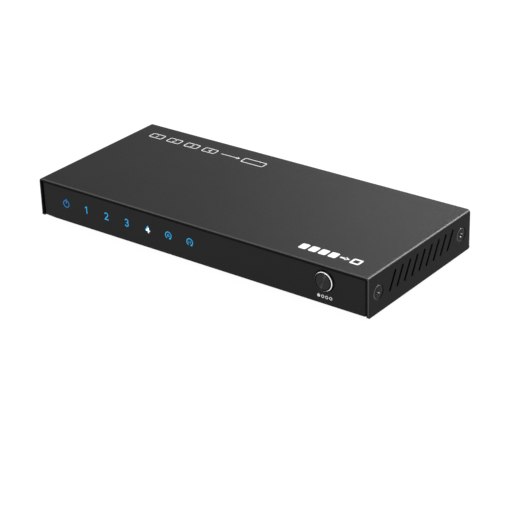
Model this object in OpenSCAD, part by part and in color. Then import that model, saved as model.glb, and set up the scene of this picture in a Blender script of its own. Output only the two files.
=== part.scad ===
// Video switch box: a folded steel case with four input sockets and one output socket on a
// circuit board, indicator marks and a select button at the front, and a power jack at the rear.
// The origin lies under the middle of the case, on the surface that the feet stand on.
// +X is to the right and +Y to the rear, seen from the front.

/* [Case] */
// Width over the side walls of the cover
case_w = 160; // [152:1:220]
// Depth of the cover from its front edge to its rear edge
case_d = 70; // [66:1:110]
// Height of the cover
case_h = 16.5; // [16:0.5:26]
// Thickness of the steel sheet
sheet_t = 1; // [0.8:0.1:1.2]
// Inside radius of the folds
bend_r = 0.3; // [0.2:0.1:0.8]
// Radius on the lower corners of the cover's side walls
wall_r = 1; // [0.3:0.1:2]
// Depth of the front and rear panels behind the edges of the cover
panel_inset = 0.6; // [0.3:0.1:1.5]
// Slack between the cover and the tray inside it
cover_slack = 0.15; // [0.1:0.05:0.4]
// Width of the relief slots at the corners of the tray
corner_relief = 1; // [0.6:0.1:2]
// Height of the side flanges of the tray between their ears
flange_h = 4; // [3:0.1:4.6]
// How far a tapped ear reaches past its screw
ear_reach = 4.5; // [3.5:0.1:5.5]
// Corner radius of the ears
ear_r = 2; // [0.5:0.1:3]

/* [Vents] */
// Distance between neighbouring slots
vent_pitch = 4.95; // [4:0.05:8]
// Width of a slot
vent_w = 1.1; // [0.8:0.1:2]
// Length of a slot over its round ends
vent_len = 8.6; // [5:0.1:9]
// Lean of the slots from upright, top to the rear
vent_lean = 28.5; // [0:0.5:35]
// Height of the slots above the middle of the cover
vent_rise = 1; // [0:0.1:1.2]
// Distance of the row behind the middle of the cover
vent_shift = 0.5; // [-1:0.1:1]
// Length without slots at each end of the cover
vent_margin = 12.5; // [12:0.1:20]

/* [Screws] */
// Thread diameter of all screws
screw_d = 3; // [2.5:0.1:3.5]
// Head diameter of the countersunk cover screws
csk_head_d = 5.6; // [5.4:0.1:6.4]
// Width of the countersink that shows round a head
csk_rim = 0.35; // [0.2:0.05:0.6]
// Thickness of a screw head at its edge
csk_land = 0.15; // [0.1:0.05:0.25]
// Height of the straight hole under a countersink
dimple_floor = 0.4; // [0.3:0.05:0.8]
// Width of the ring with which a dimple sits on its ear
dimple_seat = 0.9; // [0.6:0.1:1.2]
// Distance from the front and rear edges of the cover to the screws
screw_inset = 6.5; // [6:0.1:9]
// Slack of a screw in a plain hole
hole_slack = 0.3; // [0.2:0.05:0.6]
// Slack of a screw in a tapped hole
thread_slack = 0.1; // [0.05:0.05:0.2]
// Length of the collar drawn round a tapped hole
collar_h = 1.2; // [0.6:0.1:1.6]
// Wall of that collar
collar_wall = 0.8; // [0.5:0.1:1.2]
// Length of a screw past its collar
screw_tip = 0.8; // [0.2:0.1:1.2]
// Length over the arms of the cross recess in a screw head
recess_l = 3; // [2:0.1:3.2]
// Width of an arm of the cross recess
recess_w = 0.7; // [0.4:0.1:1]
// Depth of the cross recess
recess_depth = 1.1; // [0.6:0.1:1.2]
// Head diameter of the board screws
pan_head_d = 5.5; // [5:0.1:6]
// Head height of the board screws
pan_head_h = 1.9; // [1.6:0.1:2.4]
// Radius on the edge of a board screw head
pan_head_r = 0.7; // [0.3:0.1:1]

/* [Feet] */
// Diameter of a rubber foot
foot_d = 9; // [6:0.5:12]
// Height of a rubber foot
foot_h = 1.5; // [1:0.1:4]
// Radius on the lower edge of a foot
foot_r = 0.5; // [0.2:0.1:0.8]
// Distance of the feet from the sides of the case
foot_inset = 11; // [8:0.5:20]

/* [Front] */
// Thickness of the front overlay
overlay_t = 0.8; // [0.4:0.1:1.2]
// Margin of the overlay inside the front panel
overlay_margin = 0.2; // [0.1:0.1:1]
// Height of the overlay's lower edge above that of the cover
overlay_lift = 0.35; // [0.2:0.05:1]
// Corner radius of the overlay
overlay_r = 0.4; // [0.2:0.1:2]
// Distance of the first mark from the left side of the case
mark_inset = 13.85; // [12:0.05:20]
// Distance between neighbouring marks
mark_pitch = 10.65; // [8:0.05:12]
// Height of the marks above the board
mark_rise = 2.65; // [2.4:0.05:4]
// Height of the long window in the front panel behind the marks and the receiver
window_h = 5.2; // [4:0.1:6]
// Slack of the light pipe in its window
pipe_slack = 0.4; // [0.2:0.1:0.8]
// Gap in front of and behind the front panel at the light pipe
pipe_gap = 0.1; // [0.05:0.05:0.3]
// Thickness of the light pipe at the top of its slanted face
pipe_crest = 0.7; // [0.3:0.1:1.5]
// Thickness of the bar that joins the light pipe
pipe_bar = 1.8; // [1.2:0.1:2.4]
// Width of the two legs of the light pipe
pipe_leg_w = 2.4; // [1.8:0.1:4]
// Diameter of the pins under those legs
pipe_pin_d = 1.2; // [0.8:0.1:1.6]
// Width of an indicator
led_w = 2; // [1.6:0.1:3]
// Depth of an indicator
led_d = 1.25; // [0.8:0.05:2]
// Height of an indicator
led_h = 0.8; // [0.5:0.1:1.2]
// Gap between an indicator and the light pipe
led_gap = 0.3; // [0.1:0.1:0.5]

/* [Button] */
// Diameter of the cap
button_d = 7.8; // [6:0.1:9]
// Length of the cap
button_len = 3.4; // [3:0.1:5]
// Distance of the button from the right side of the case
button_inset = 19.5; // [16:0.1:30]
// Height of the button above the board
button_rise = 4.2; // [3.8:0.1:4.8]
// How far the cap stands out of the overlay
button_proud = 1; // [0.6:0.1:2]
// Gap round the cap
button_gap = 0.45; // [0.2:0.05:0.8]
// Travel of the button
button_travel = 0.5; // [0.2:0.05:0.8]
// Width of the bright chamfer
button_chamfer = 0.5; // [0.2:0.05:1]
// Width of the flat rim inside the chamfer
button_rim = 0.12; // [0.05:0.01:0.3]
// Width of the groove between the rim and the face
groove_w = 0.36; // [0.2:0.02:0.6]
// Depth of that groove
groove_depth = 0.22; // [0.1:0.02:0.4]
// Depth of the bore for the plunger
button_bore = 2.4; // [1.5:0.1:2.8]

/* [Select switch] */
// Width and height of the switch
switch_w = 6; // [5:0.1:6.5]
// Diameter of the plunger stem
stem_d = 3.4; // [2.5:0.1:4]
// Slack of the stem in the cap
stem_slack = 0.04; // [0.02:0.01:0.1]
// Slack of the stem in the switch frame
guide_slack = 0.16; // [0.1:0.02:0.2]
// Width of the collar that holds the plunger in the switch
plunger_rim = 0.5; // [0.3:0.1:0.8]
// Thickness of that collar
plunger_t = 0.9; // [0.6:0.1:1.5]
// Gap round the collar
plunger_gap = 0.3; // [0.2:0.05:0.5]
// Play of the plunger at rest
plunger_play = 0.1; // [0.05:0.05:0.2]
// Thickness of the switch frame sheet
frame_t = 0.3; // [0.2:0.05:0.5]
// Thickness of the snap dome
dome_t = 0.1; // [0.06:0.02:0.2]
// Height of the snap dome beyond the travel
dome_spare = 0.1; // [0.05:0.05:0.3]
// Thickness of the switch housing behind the dome
switch_back = 1.6; // [1:0.1:3]
// Width of a leg of the switch frame
switch_leg_w = 1.4; // [0.8:0.1:2]
// Room between the pressed cap and the switch
switch_room = 0.5; // [0.2:0.1:1]

/* [Board] */
// Thickness of the board
board_t = 1.6; // [1.2:0.1:1.8]
// Corner radius of the board
board_r = 1; // [0.5:0.1:3]
// Gap between the board and the front and rear panels
board_gap = 1; // [0.6:0.1:2]
// Gap between the board and the side flanges
board_side_gap = 2; // [1.5:0.1:4]
// Diameter of a post
post_d = 5.5; // [5:0.1:7]
// Diameter of the rivet end of a post
rivet_d = 4.2; // [3.6:0.1:4.8]
// Slack of rivet ends, pins and leads in their holes
pin_slack = 0.2; // [0.1:0.05:0.4]
// Distance of the posts from the sides of the board
post_inset = 5; // [4:0.5:8]
// Distance between the front and rear posts
post_span = 32; // [28:1:34]
// Thickness of post that stays under its tapped hole
post_floor = 0.3; // [0.2:0.1:0.6]
// Room between a board screw and the end of its hole
post_room = 0.4; // [0.2:0.1:0.6]
// Length of socket legs and leads below the board
leg_tail = 0.8; // [0.4:0.1:1.2]

/* [Video sockets] */
// Width of the mouth of a socket
mouth_w = 14; // [13.5:0.1:14.5]
// Height of the mouth
mouth_h = 4.55; // [4.3:0.05:4.8]
// Width of the floor of the mouth between its slanted corners
mouth_floor = 10; // [9:0.1:11]
// Height of the upright sides of the mouth
mouth_side = 2.5; // [2:0.1:3]
// Thickness of the shell sheet
shell_t = 0.35; // [0.25:0.05:0.45]
// Length of a shell
shell_len = 11.8; // [10:0.1:14]
// Height of the flared lip of a shell
flare_h = 0.4; // [0.2:0.05:0.6]
// Length of the flared lip
flare_len = 0.4; // [0.2:0.05:0.8]
// Gap between the lip and the rear panel round it
port_gap = 0.25; // [0.1:0.05:0.5]
// How far the sockets stand out behind the cover
port_proud = 0.4; // [0:0.1:1]
// Distance between neighbouring inputs
port_pitch = 23; // [19:0.5:26]
// Distance between the first input and the output
output_pitch = 24; // [20:0.5:28]
// Width of a leg of a shell
shell_leg_w = 1.6; // [1:0.1:2.4]
// Distance of the rear legs from the mouth
shell_leg_near = 5; // [4:0.1:6]
// Distance of the front legs from the mouth
shell_leg_far = 9.4; // [8.4:0.1:10.4]
// Width of the contact tongue
tongue_w = 11; // [10:0.1:11.5]
// Thickness of the tongue
tongue_t = 1.5; // [1.2:0.05:1.8]
// Height of the tongue above the middle of the mouth
tongue_rise = 0.25; // [0:0.05:0.4]
// Depth of the tongue behind the mouth
tongue_setback = 1.3; // [1:0.1:2]
// Chamfer on the front of the tongue
tongue_chamfer = 0.3; // [0.1:0.05:0.5]
// Length of the insulator block behind the tongue
block_len = 4; // [2.5:0.1:5]
// Slack of the insulator in its shell
block_slack = 0.04; // [0.02:0.01:0.1]
// Number of contacts on the tongue
contact_count_over = 10; // [8:1:10]
// Number of contacts under the tongue
contact_count_under = 9; // [7:1:9]
// Distance between neighbouring contacts
contact_pitch = 1; // [0.9:0.02:1.1]
// Width of a contact
contact_w = 0.5; // [0.3:0.05:0.7]
// Thickness of a contact
contact_t = 0.1; // [0.05:0.01:0.2]
// Distance of the contacts behind the front of the tongue
contact_setback = 0.9; // [0.5:0.1:2]
// Width of a solder tail of a contact
tail_w = 0.3; // [0.2:0.05:0.4]
// Length of a solder tail
tail_len = 1.2; // [0.6:0.1:1.8]
// Thickness of a solder tail
tail_t = 0.2; // [0.1:0.05:0.3]

/* [Power jack] */
// Distance between the output and the jack
jack_pitch = 21; // [18:0.5:26]
// Width of the jack
jack_w = 9; // [8.6:0.1:10]
// Height of the jack
jack_h = 8.8; // [8.6:0.1:9.2]
// Room between the jack and the cover, which sets the height of the board
jack_room = 1.1; // [0.6:0.1:1.8]
// Corner radius of the jack
jack_r = 1; // [0.4:0.1:2]
// Length of the jack
jack_len = 14.4; // [13:0.1:16]
// Diameter of the nose in the rear panel
jack_nose_d = 8.2; // [7.6:0.1:8.4]
// Gap round the nose and in front of the rear panel
jack_gap = 0.3; // [0.1:0.05:0.6]
// Diameter of the jack's bore
jack_bore_d = 6.3; // [5.8:0.1:6.6]
// Depth of the bore
jack_bore_len = 9.6; // [9:0.1:11]
// Diameter of the centre pin
jack_pin_d = 2; // [1.3:0.1:2.5]
// Depth of the pin behind the mouth of the jack
jack_pin_setback = 1; // [0.5:0.1:2]
// Thickness of the disc at the foot of the pin
jack_disc_t = 0.5; // [0.3:0.1:1]
// Width of the disc round the pin
jack_disc_rim = 0.6; // [0.3:0.1:1]
// Width of the spring contact
jack_spring_w = 2; // [1.4:0.1:2.6]
// Thickness of the spring contact
jack_spring_t = 0.25; // [0.15:0.05:0.3]
// Height of the bow in the spring contact
jack_spring_bow = 0.5; // [0.3:0.05:0.7]
// Length of the flat end of the spring contact
jack_spring_flat = 2.3; // [1.5:0.1:3]
// Length of each ramp of its bow
jack_spring_ramp = 1.9; // [1.4:0.1:2.2]
// Depth of the groove that the spring contact lies in
jack_groove = 0.4; // [0.3:0.05:0.6]

/* [Receiver] */
// Distance of the receiver to the left of the button
ir_offset = 28; // [20:0.5:34]
// Width of the receiver
ir_w = 5.6; // [5:0.1:7]
// Depth of the receiver without its lens
ir_d = 3.2; // [2.6:0.1:4]
// Height of the receiver
ir_h = 6.4; // [5.8:0.1:7.5]
// Radius of the lens
ir_lens_r = 2; // [1.5:0.1:2.4]
// Gap between the lens and the front panel
ir_gap = 0.3; // [0.1:0.1:0.6]
// Distance between the leads
ir_lead_pitch = 1.9; // [1.5:0.1:2.2]
// Width of a lead
ir_lead_w = 0.45; // [0.3:0.05:0.6]

/* [Chips] */
// Width of the video switch chip
chip_w = 12; // [9:0.5:16]
// Thickness of the chips
chip_t = 1; // [0.8:0.1:1.4]
// Thickness of the thermal pad
pad_t = 0.5; // [0.3:0.1:1]
// Width of the heatsink
sink_w = 22; // [18:0.5:26]
// Thickness of the heatsink base
sink_base = 1.5; // [1:0.1:2]
// Height of the heatsink fins
sink_fin_h = 4.5; // [3:0.1:5]
// Thickness of a fin
sink_fin_t = 1; // [0.8:0.1:1.4]
// Distance between neighbouring fins
sink_pitch = 3; // [2.4:0.1:4]
// Width of the controller chip
controller_w = 7; // [5:0.5:9]
// Width of a port chip
port_chip_w = 6; // [4:0.5:10]
// Depth of a port chip
port_chip_d = 2.6; // [2:0.1:3]
// Gap between a socket and its port chip
port_chip_gap = 2.4; // [2:0.1:3.5]
// Length of the crystal can
crystal_l = 11; // [9:0.5:12]
// Width of the crystal can
crystal_w = 4.6; // [4:0.1:5]
// Height of the crystal can
crystal_h = 3.4; // [2.5:0.1:4]
// Width of the regulator
regulator_w = 6.5; // [5:0.1:7]
// Depth of the regulator
regulator_d = 3.5; // [3:0.1:4]
// Thickness of the regulator
regulator_t = 1.6; // [1.2:0.1:2]
// Width of the regulator's tab
regulator_tab_w = 3; // [2:0.1:4]
// Length of the regulator's tab
regulator_tab_l = 1.6; // [1:0.1:2]
// Thickness of the regulator's tab
regulator_tab_t = 0.4; // [0.2:0.1:0.8]
// Width of the inductor
inductor_w = 7; // [6:0.5:8]
// Height of the inductor
inductor_h = 3.2; // [2.5:0.1:4]
// Corner radius of the inductor
inductor_r = 1.4; // [0.5:0.1:2]
// Diameter of a capacitor can
cap_d = 6.3; // [5:0.1:6.6]
// Height of a capacitor
cap_h = 7.7; // [5.8:0.1:8.4]
// Height of a capacitor's plastic base
cap_base = 1; // [0.6:0.1:1.6]
// Margin of that base round the can
cap_margin = 0.2; // [0.1:0.05:0.4]

/* [Hidden] */
$fn = 48;
// Overshoot of cutting shapes
cut = 1;

paint = "#232325";
film = "#17181a";
black_plastic = "#1b1b1c";
rubber = "#29292a";
nickel = "#c3c6ca";
gold = "#d0a13c";
aluminium = "#9fa2a6";
spun_metal = "#4d4f52";
laminate = "#1d4a33";
clear_plastic = "#d7e4ee";
led_white = "#dfe9f7";
epoxy = "#202124";
lens_violet = "#241a2a";
pad_grey = "#8d96a3";

PORTS = ["input_1", "input_2", "input_3", "input_4", "output"];
LEDS = ["led_power", "led_input_1", "led_input_2", "led_input_3", "led_input_4", "led_auto",
    "led_mode"];
FEET = ["foot_front_left", "foot_front_right", "foot_rear_left", "foot_rear_right"];

// Heights
base_z = foot_h;
fold_r = bend_r + sheet_t;
tray_top = base_z + case_h - sheet_t - cover_slack;
board_top = base_z + case_h - sheet_t - jack_room - jack_h;
board_z = board_top - board_t;
post_h = board_z - base_z - sheet_t;
screw_z = base_z + case_h / 2;
vent_z = base_z + case_h / 2 + vent_rise;
mark_z = board_top + mark_rise;
button_z = board_top + button_rise;

// Cover screws and their dimples
hole_d = screw_d + hole_slack;
tapped_d = screw_d + thread_slack;
csk_d = csk_head_d + 2 * csk_rim;
csk_depth = (csk_d - hole_d) / 2;
dimple_h = csk_depth + dimple_floor - sheet_t;
ear_out = sheet_t + dimple_h;
ear_in = ear_out + sheet_t;
screw_y = case_d / 2 - screw_inset;

// Tray
overlay_y = panel_inset - case_d / 2;
tray_front = overlay_y + overlay_t;
tray_rear = case_d / 2 - panel_inset;
front_in = tray_front + sheet_t;
rear_in = tray_rear - sheet_t;
tray_w = case_w - 2 * sheet_t - 2 * cover_slack;
side_x = case_w / 2 - ear_out;
floor_x = side_x - fold_r;
flange_front = tray_front + fold_r + corner_relief;
flange_rear = tray_rear - fold_r - corner_relief;

// Vents
vent_count = floor((case_d - 2 * vent_margin) / vent_pitch);

// Board and posts
board_front = front_in + board_gap;
board_rear = rear_in - board_gap;
board_x = case_w / 2 - ear_in - board_side_gap;
post_x = board_x - post_inset;
post_tap = post_h - post_floor;

// Marks and light pipe
last_mark = len(LEDS) - 1;
mark_x = [for (i = [0 : last_mark]) mark_inset + i * mark_pitch - case_w / 2];
mark_row = mark_x[last_mark] - mark_x[0];
pipe_d = window_h - pipe_slack;
pipe_front = tray_front + pipe_gap;
pipe_back = front_in + pipe_gap;
pipe_low = board_top + led_h + led_gap;
pipe_high = mark_z + pipe_d / 2;
pipe_depth = pipe_crest + pipe_high - pipe_low;
led_y = board_front + pipe_bar / 2;
pipe_leg_x = [mark_x[0] + mark_pitch / 2, mark_x[last_mark] - mark_pitch / 2];

// Button and switch, from the front to the rear
button_x = case_w / 2 - button_inset;
button_front = overlay_y - button_proud;
button_back = button_front + button_len;
frame_y = button_back + button_travel + switch_room;
housing_y = frame_y + frame_t;
plunger_d = stem_d + 2 * plunger_rim;
pocket_d = plunger_d + 2 * plunger_gap;
dome_h = button_travel + dome_spare;
dome_gap = plunger_play;
pocket_len = plunger_play + plunger_t + dome_gap + dome_h;
switch_d = pocket_len + switch_back;
switch_leg_y = housing_y + switch_d / 2;
stem_len = housing_y + plunger_play - (button_back - button_bore);

// Sockets and jack along the rear
port_y = case_d / 2 + port_proud;
last_input = len(PORTS) - 2;
row_w = last_input * port_pitch + output_pitch + jack_pitch;
jack_x = row_w / 2;
output_x = jack_x - jack_pitch;
port_x = concat([for (i = [0 : last_input]) output_x - output_pitch - i * port_pitch], [output_x]);
jack_z = board_top + jack_h / 2;
jack_back = port_y - jack_len;
jack_bore_y = port_y - jack_bore_len;
jack_groove_z = jack_z - jack_bore_d / 2 - jack_groove;
jack_spring_len = jack_bore_len - 2 * jack_pin_setback;
shell_z = board_top + shell_t;
tongue_z = mouth_h / 2 + tongue_rise;
tongue_len = shell_len - tongue_setback - block_len;
mouth_slant = mouth_h - mouth_side;
mouth = [
    [-mouth_floor / 2, 0],
    [mouth_floor / 2, 0],
    [mouth_w / 2, mouth_slant],
    [mouth_w / 2, mouth_h],
    [-mouth_w / 2, mouth_h],
    [-mouth_w / 2, mouth_slant]
];
shell_leg_x = mouth_w / 2 + shell_t / 2;
shell_leg_at = [shell_leg_near, shell_leg_far];

// Receiver
ir_x = button_x - ir_offset;
ir_y = front_in + ir_gap + ir_lens_r;

// Places of the chips on the board: the supply beside the jack, the rest round the middle
chip_at = [0, -4];
controller_at = [25, -14];
crystal_at = [25, -2];
regulator_from_jack = [-16, -6];
inductor_from_jack = [-5, -4];
capacitors_from_jack = [[-15, 9], [-6, 9]];
regulator_at = [jack_x, 0] + regulator_from_jack;
inductor_at = [jack_x, 0] + inductor_from_jack;
capacitor_at = [for (place = capacitors_from_jack) [jack_x, 0] + place];

function unit(v) = v / norm(v);
function outward(a, b) = let (along = unit(b - a)) [along.y, -along.x];

// Outline with every edge moved outwards by d, for a convex outline that runs anticlockwise
function grown(outline, d) = [
    for (i = [0 : len(outline) - 1])
        let (
            n = len(outline),
            before = outward(outline[(i + n - 1) % n], outline[i]),
            after = outward(outline[i], outline[(i + 1) % n])
        )
        outline[i] + d * (before + after) / (1 + before * after)
];

// Places what is drawn in X and Z along Y
module extrude_y(from, to) {
    translate([0, to, 0]) rotate([90, 0, 0]) linear_extrude(to - from) children();
}

// Places what is drawn in Y and Z along X
module extrude_x(from, to) {
    translate([from, 0, 0]) rotate([90, 0, 90]) linear_extrude(to - from) children();
}

// Turns a shape round Z into one round a line along Y, with its height to the rear
module facing_rear(x, y, z) {
    translate([x, y, z]) rotate([-90, 0, 0]) children();
}

// Rectangle that stands on the X axis, with its two upper corners rounded
module arch(w, h, r) {
    translate([-w / 2, 0]) square([w, h - r]);
    translate([r - w / 2, 0]) square([w - 2 * r, h]);
    for (side = [-1, 1])
        translate([side * (w / 2 - r), h - r]) circle(r);
}

// Rectangle round the origin with rounded corners
module rounded(w, h, r) {
    square([w, h - 2 * r], center = true);
    square([w - 2 * r, h], center = true);
    for (x = [-1, 1], y = [-1, 1])
        translate([x * (w / 2 - r), y * (h / 2 - r)]) circle(r);
}

// Upright slot with round ends
module stadium(length, w) {
    square([w, length - w], center = true);
    for (end = [-1, 1])
        translate([0, end * (length - w) / 2]) circle(d = w);
}

// Section of a sheet folded to a channel that is open downwards
module channel(w, h) {
    difference() {
        arch(w, h, fold_r);
        translate([0, -cut]) arch(w - 2 * sheet_t, h - sheet_t + cut, bend_r);
    }
}

// Section of the tray's channels, which are open upwards
module tray_channel(w) {
    translate([0, tray_top]) mirror([0, 1]) channel(w, tray_top - base_z);
}

// Each cover screw's place, with Z out of the side wall and its zero on the wall's outer face
module at_cover_screws() {
    for (side = [-1, 1], end = [-1, 1])
        translate([side * case_w / 2, end * screw_y, screw_z])
            rotate([0, side * 90, 0])
                children();
}

// Each board post's place, at the height of the tray's floor
module at_posts() {
    for (x = [-1, 1], y = [-1, 1])
        translate([x * post_x, y * post_span / 2, base_z + sheet_t]) children();
}

module cross_recess() {
    translate([0, 0, -recess_depth])
        linear_extrude(recess_depth + cut) {
            square([recess_l, recess_w], center = true);
            square([recess_w, recess_l], center = true);
        }
}

// Sheet drawn inwards round a countersink
module dimple() {
    flank = dimple_h + sheet_t / 2;
    seat = hole_d + 2 * dimple_seat;
    translate([0, 0, -ear_out]) cylinder(h = flank, d1 = seat, d2 = seat + 2 * flank);
}

module countersink() {
    translate([0, 0, -csk_depth]) cylinder(h = csk_depth + cut, d1 = hole_d, d2 = csk_d + 2 * cut);
    translate([0, 0, -ear_out - cut]) cylinder(h = ear_out + cut, d = hole_d);
}

module vents() {
    for (i = [0 : vent_count - 1])
        translate([0, vent_shift + (i - (vent_count - 1) / 2) * vent_pitch, vent_z])
            extrude_x(-case_w, case_w) rotate(-vent_lean) stadium(vent_len, vent_w);
}

// Outline of the cover in Y and Z, which rounds the lower corners of its side walls
module wall_outline() {
    translate([0, base_z + case_h + cut]) mirror([0, 1]) arch(case_d, case_h + cut, wall_r);
}

module top_cover() {
    color(paint)
        difference() {
            union() {
                intersection() {
                    translate([0, 0, base_z])
                        extrude_y(-case_d / 2, case_d / 2) channel(case_w, case_h);
                    extrude_x(-case_w, case_w) wall_outline();
                }
                at_cover_screws() dimple();
            }
            at_cover_screws() countersink();
            vents();
        }
}

module cover_screws() {
    head_depth = csk_rim;
    cone_h = (csk_head_d - screw_d) / 2;
    lift = thread_slack / 2;
    color(black_plastic)
        at_cover_screws()
            translate([0, 0, lift - head_depth])
                difference() {
                    rotate_extrude()
                        polygon([
                            [0, csk_land],
                            [csk_head_d / 2, csk_land],
                            [csk_head_d / 2, 0],
                            [screw_d / 2, -cone_h],
                            [screw_d / 2, head_depth - ear_in - collar_h - screw_tip],
                            [0, head_depth - ear_in - collar_h - screw_tip]
                        ]);
                    translate([0, 0, csk_land]) cross_recess();
                }
}

// Floor, front panel and rear panel, with the floor cut back beside the side flanges
module tray_panels() {
    middle = (tray_front + tray_rear) / 2;
    difference() {
        extrude_x(-tray_w / 2, tray_w / 2)
            translate([middle, 0]) tray_channel(tray_rear - tray_front);
        for (side = [-1, 1])
            translate([side * (floor_x + case_w / 2), (flange_front + flange_rear) / 2, base_z])
                cube([case_w, flange_rear - flange_front + 2 * corner_relief, 2 * sheet_t + cut],
                    center = true);
    }
}

// Outline of a side flange in Y and Z: a low lip with a tall ear at each screw
module flange_outline() {
    ears = [[flange_front, ear_reach - screw_y], [screw_y - ear_reach, flange_rear]];
    translate([flange_front, base_z]) square([flange_rear - flange_front, flange_h]);
    for (ear = ears)
        translate([(ear[0] + ear[1]) / 2, base_z])
            arch(ear[1] - ear[0], screw_z - base_z + ear_reach, ear_r);
}

module tray_flanges() {
    intersection() {
        extrude_y(flange_front, flange_rear) tray_channel(2 * side_x);
        extrude_x(-case_w, case_w) flange_outline();
    }
}

module ear_collar() {
    translate([0, 0, -ear_in - collar_h])
        cylinder(h = collar_h + sheet_t / 2, d = tapped_d + 2 * collar_wall);
}

module tapped_hole() {
    translate([0, 0, -ear_in - collar_h - cut])
        cylinder(h = collar_h + sheet_t + 2 * cut, d = tapped_d);
}

module front_openings() {
    window_w = ir_x - mark_x[0];
    translate([mark_x[0] + window_w / 2, 0, mark_z])
        extrude_y(tray_front - cut, front_in + cut)
            rotate(90) stadium(window_w + window_h, window_h);
    facing_rear(button_x, tray_front - cut, button_z)
        cylinder(h = sheet_t + 2 * cut, d = button_d + 2 * button_gap);
}

module rear_openings() {
    for (x = port_x)
        translate([x, 0, shell_z])
            extrude_y(rear_in - cut, tray_rear + cut)
                polygon(grown(mouth, shell_t + flare_h + port_gap));
    facing_rear(jack_x, rear_in - cut, jack_z)
        cylinder(h = sheet_t + 2 * cut, d = jack_nose_d + 2 * jack_gap);
}

module base_tray() {
    color(paint)
        difference() {
            union() {
                tray_panels();
                tray_flanges();
                at_cover_screws() ear_collar();
            }
            at_cover_screws() tapped_hole();
            front_openings();
            rear_openings();
            at_posts()
                translate([0, 0, -sheet_t - cut])
                    cylinder(h = sheet_t + 2 * cut, d = rivet_d + pin_slack);
        }
}

module front_overlay() {
    low = base_z + overlay_lift;
    high = tray_top - overlay_margin;
    color(film)
        difference() {
            extrude_y(overlay_y, tray_front)
                translate([0, (low + high) / 2])
                    rounded(tray_w - 2 * overlay_margin, high - low, overlay_r);
            facing_rear(button_x, overlay_y - cut, button_z)
                cylinder(h = overlay_t + 2 * cut, d = button_d + 2 * button_gap);
        }
}

module button_cap() {
    rim_r = button_d / 2 - button_chamfer;
    groove_out = rim_r - button_rim;
    bore_r = (stem_d + stem_slack) / 2;
    color(spun_metal)
        facing_rear(button_x, button_front, button_z)
            rotate_extrude()
                polygon([
                    [0, 0],
                    [groove_out - groove_w, 0],
                    [groove_out - groove_w / 2, groove_depth],
                    [groove_out, 0],
                    [rim_r, 0],
                    [button_d / 2, button_chamfer],
                    [button_d / 2, button_len],
                    [bore_r, button_len],
                    [bore_r, button_len - button_bore],
                    [0, button_len - button_bore]
                ]);
}

module foot(i) {
    x = case_w / 2 - foot_inset;
    y = case_d / 2 - foot_inset;
    color(rubber)
        translate([i % 2 == 0 ? -x : x, i < 2 ? -y : y, 0])
            rotate_extrude() {
                translate([0, foot_r]) square([foot_d / 2, foot_h - foot_r]);
                square([foot_d / 2 - foot_r, foot_h]);
                translate([foot_d / 2 - foot_r, foot_r]) circle(foot_r);
            }
}

module main_board() {
    color(laminate)
        translate([0, 0, board_z])
            linear_extrude(board_t)
                difference() {
                    translate([0, (board_front + board_rear) / 2])
                        rounded(2 * board_x, board_rear - board_front, board_r);
                    for (x = [-1, 1], y = [-1, 1])
                        translate([x * post_x, y * post_span / 2]) circle(d = hole_d);
                    for (x = pipe_leg_x)
                        translate([x, led_y]) circle(d = pipe_pin_d + pin_slack);
                    for (x = port_x, side = [-1, 1], leg = shell_leg_at)
                        translate([x + side * shell_leg_x, port_y - leg])
                            square([shell_t, shell_leg_w] + 2 * [pin_slack, pin_slack], center = true);
                    for (side = [-1, 1])
                        translate([button_x + side * (switch_w + frame_t) / 2, switch_leg_y])
                            square([frame_t, switch_leg_w] + 2 * [pin_slack, pin_slack], center = true);
                    for (i = [-1, 0, 1])
                        translate([ir_x + i * ir_lead_pitch, ir_y + ir_d / 2])
                            circle(d = 2 * ir_lead_w);
                }
}

module board_posts() {
    color(nickel)
        at_posts()
            difference() {
                union() {
                    cylinder(h = post_h, d = post_d);
                    translate([0, 0, -sheet_t]) cylinder(h = sheet_t + post_floor, d = rivet_d);
                }
                translate([0, 0, post_floor]) cylinder(h = post_tap + cut, d = tapped_d);
            }
}

module board_screws() {
    color(nickel)
        at_posts()
            translate([0, 0, post_h + board_t])
                difference() {
                    union() {
                        rotate_extrude() {
                            square([pan_head_d / 2, pan_head_h - pan_head_r]);
                            square([pan_head_d / 2 - pan_head_r, pan_head_h]);
                            translate([pan_head_d / 2 - pan_head_r, pan_head_h - pan_head_r])
                                circle(pan_head_r);
                        }
                        translate([0, 0, post_room - board_t - post_tap])
                            cylinder(h = board_t + post_tap, d = screw_d);
                    }
                    translate([0, 0, pan_head_h]) cross_recess();
                }
}

// One clear moulding: a slanted prism over each indicator, its round end in the window, and a bar
module light_pipe() {
    color(clear_plastic) {
        for (x = mark_x) {
            extrude_x(x - pipe_d / 2, x + pipe_d / 2)
                polygon([
                    [pipe_back, pipe_low],
                    [pipe_back + pipe_depth, pipe_low],
                    [pipe_back + pipe_crest, pipe_high],
                    [pipe_back, pipe_high]
                ]);
            facing_rear(x, pipe_front, mark_z)
                cylinder(h = pipe_back + pipe_crest - pipe_front, d = pipe_d);
        }
        translate([mark_x[0], board_front, pipe_low]) cube([mark_row, pipe_bar, pipe_bar]);
        for (x = pipe_leg_x) {
            translate([x - pipe_leg_w / 2, board_front, board_top])
                cube([pipe_leg_w, pipe_bar, pipe_low - board_top + pipe_bar]);
            translate([x, led_y, board_z]) cylinder(h = board_t + led_h, d = pipe_pin_d);
        }
    }
}

module led(i) {
    color(led_white)
        translate([mark_x[i], led_y, board_top]) {
            linear_extrude(led_h / 2) square([led_w, led_d], center = true);
            linear_extrude(led_h) square([led_w - led_h, led_d], center = true);
        }
}

module switch_housing() {
    color(black_plastic)
        difference() {
            translate([button_x - switch_w / 2, housing_y, board_top])
                cube([switch_w, switch_d, button_z + switch_w / 2 - board_top]);
            facing_rear(button_x, housing_y - cut, button_z)
                cylinder(h = pocket_len + cut, d = pocket_d);
        }
}

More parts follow.
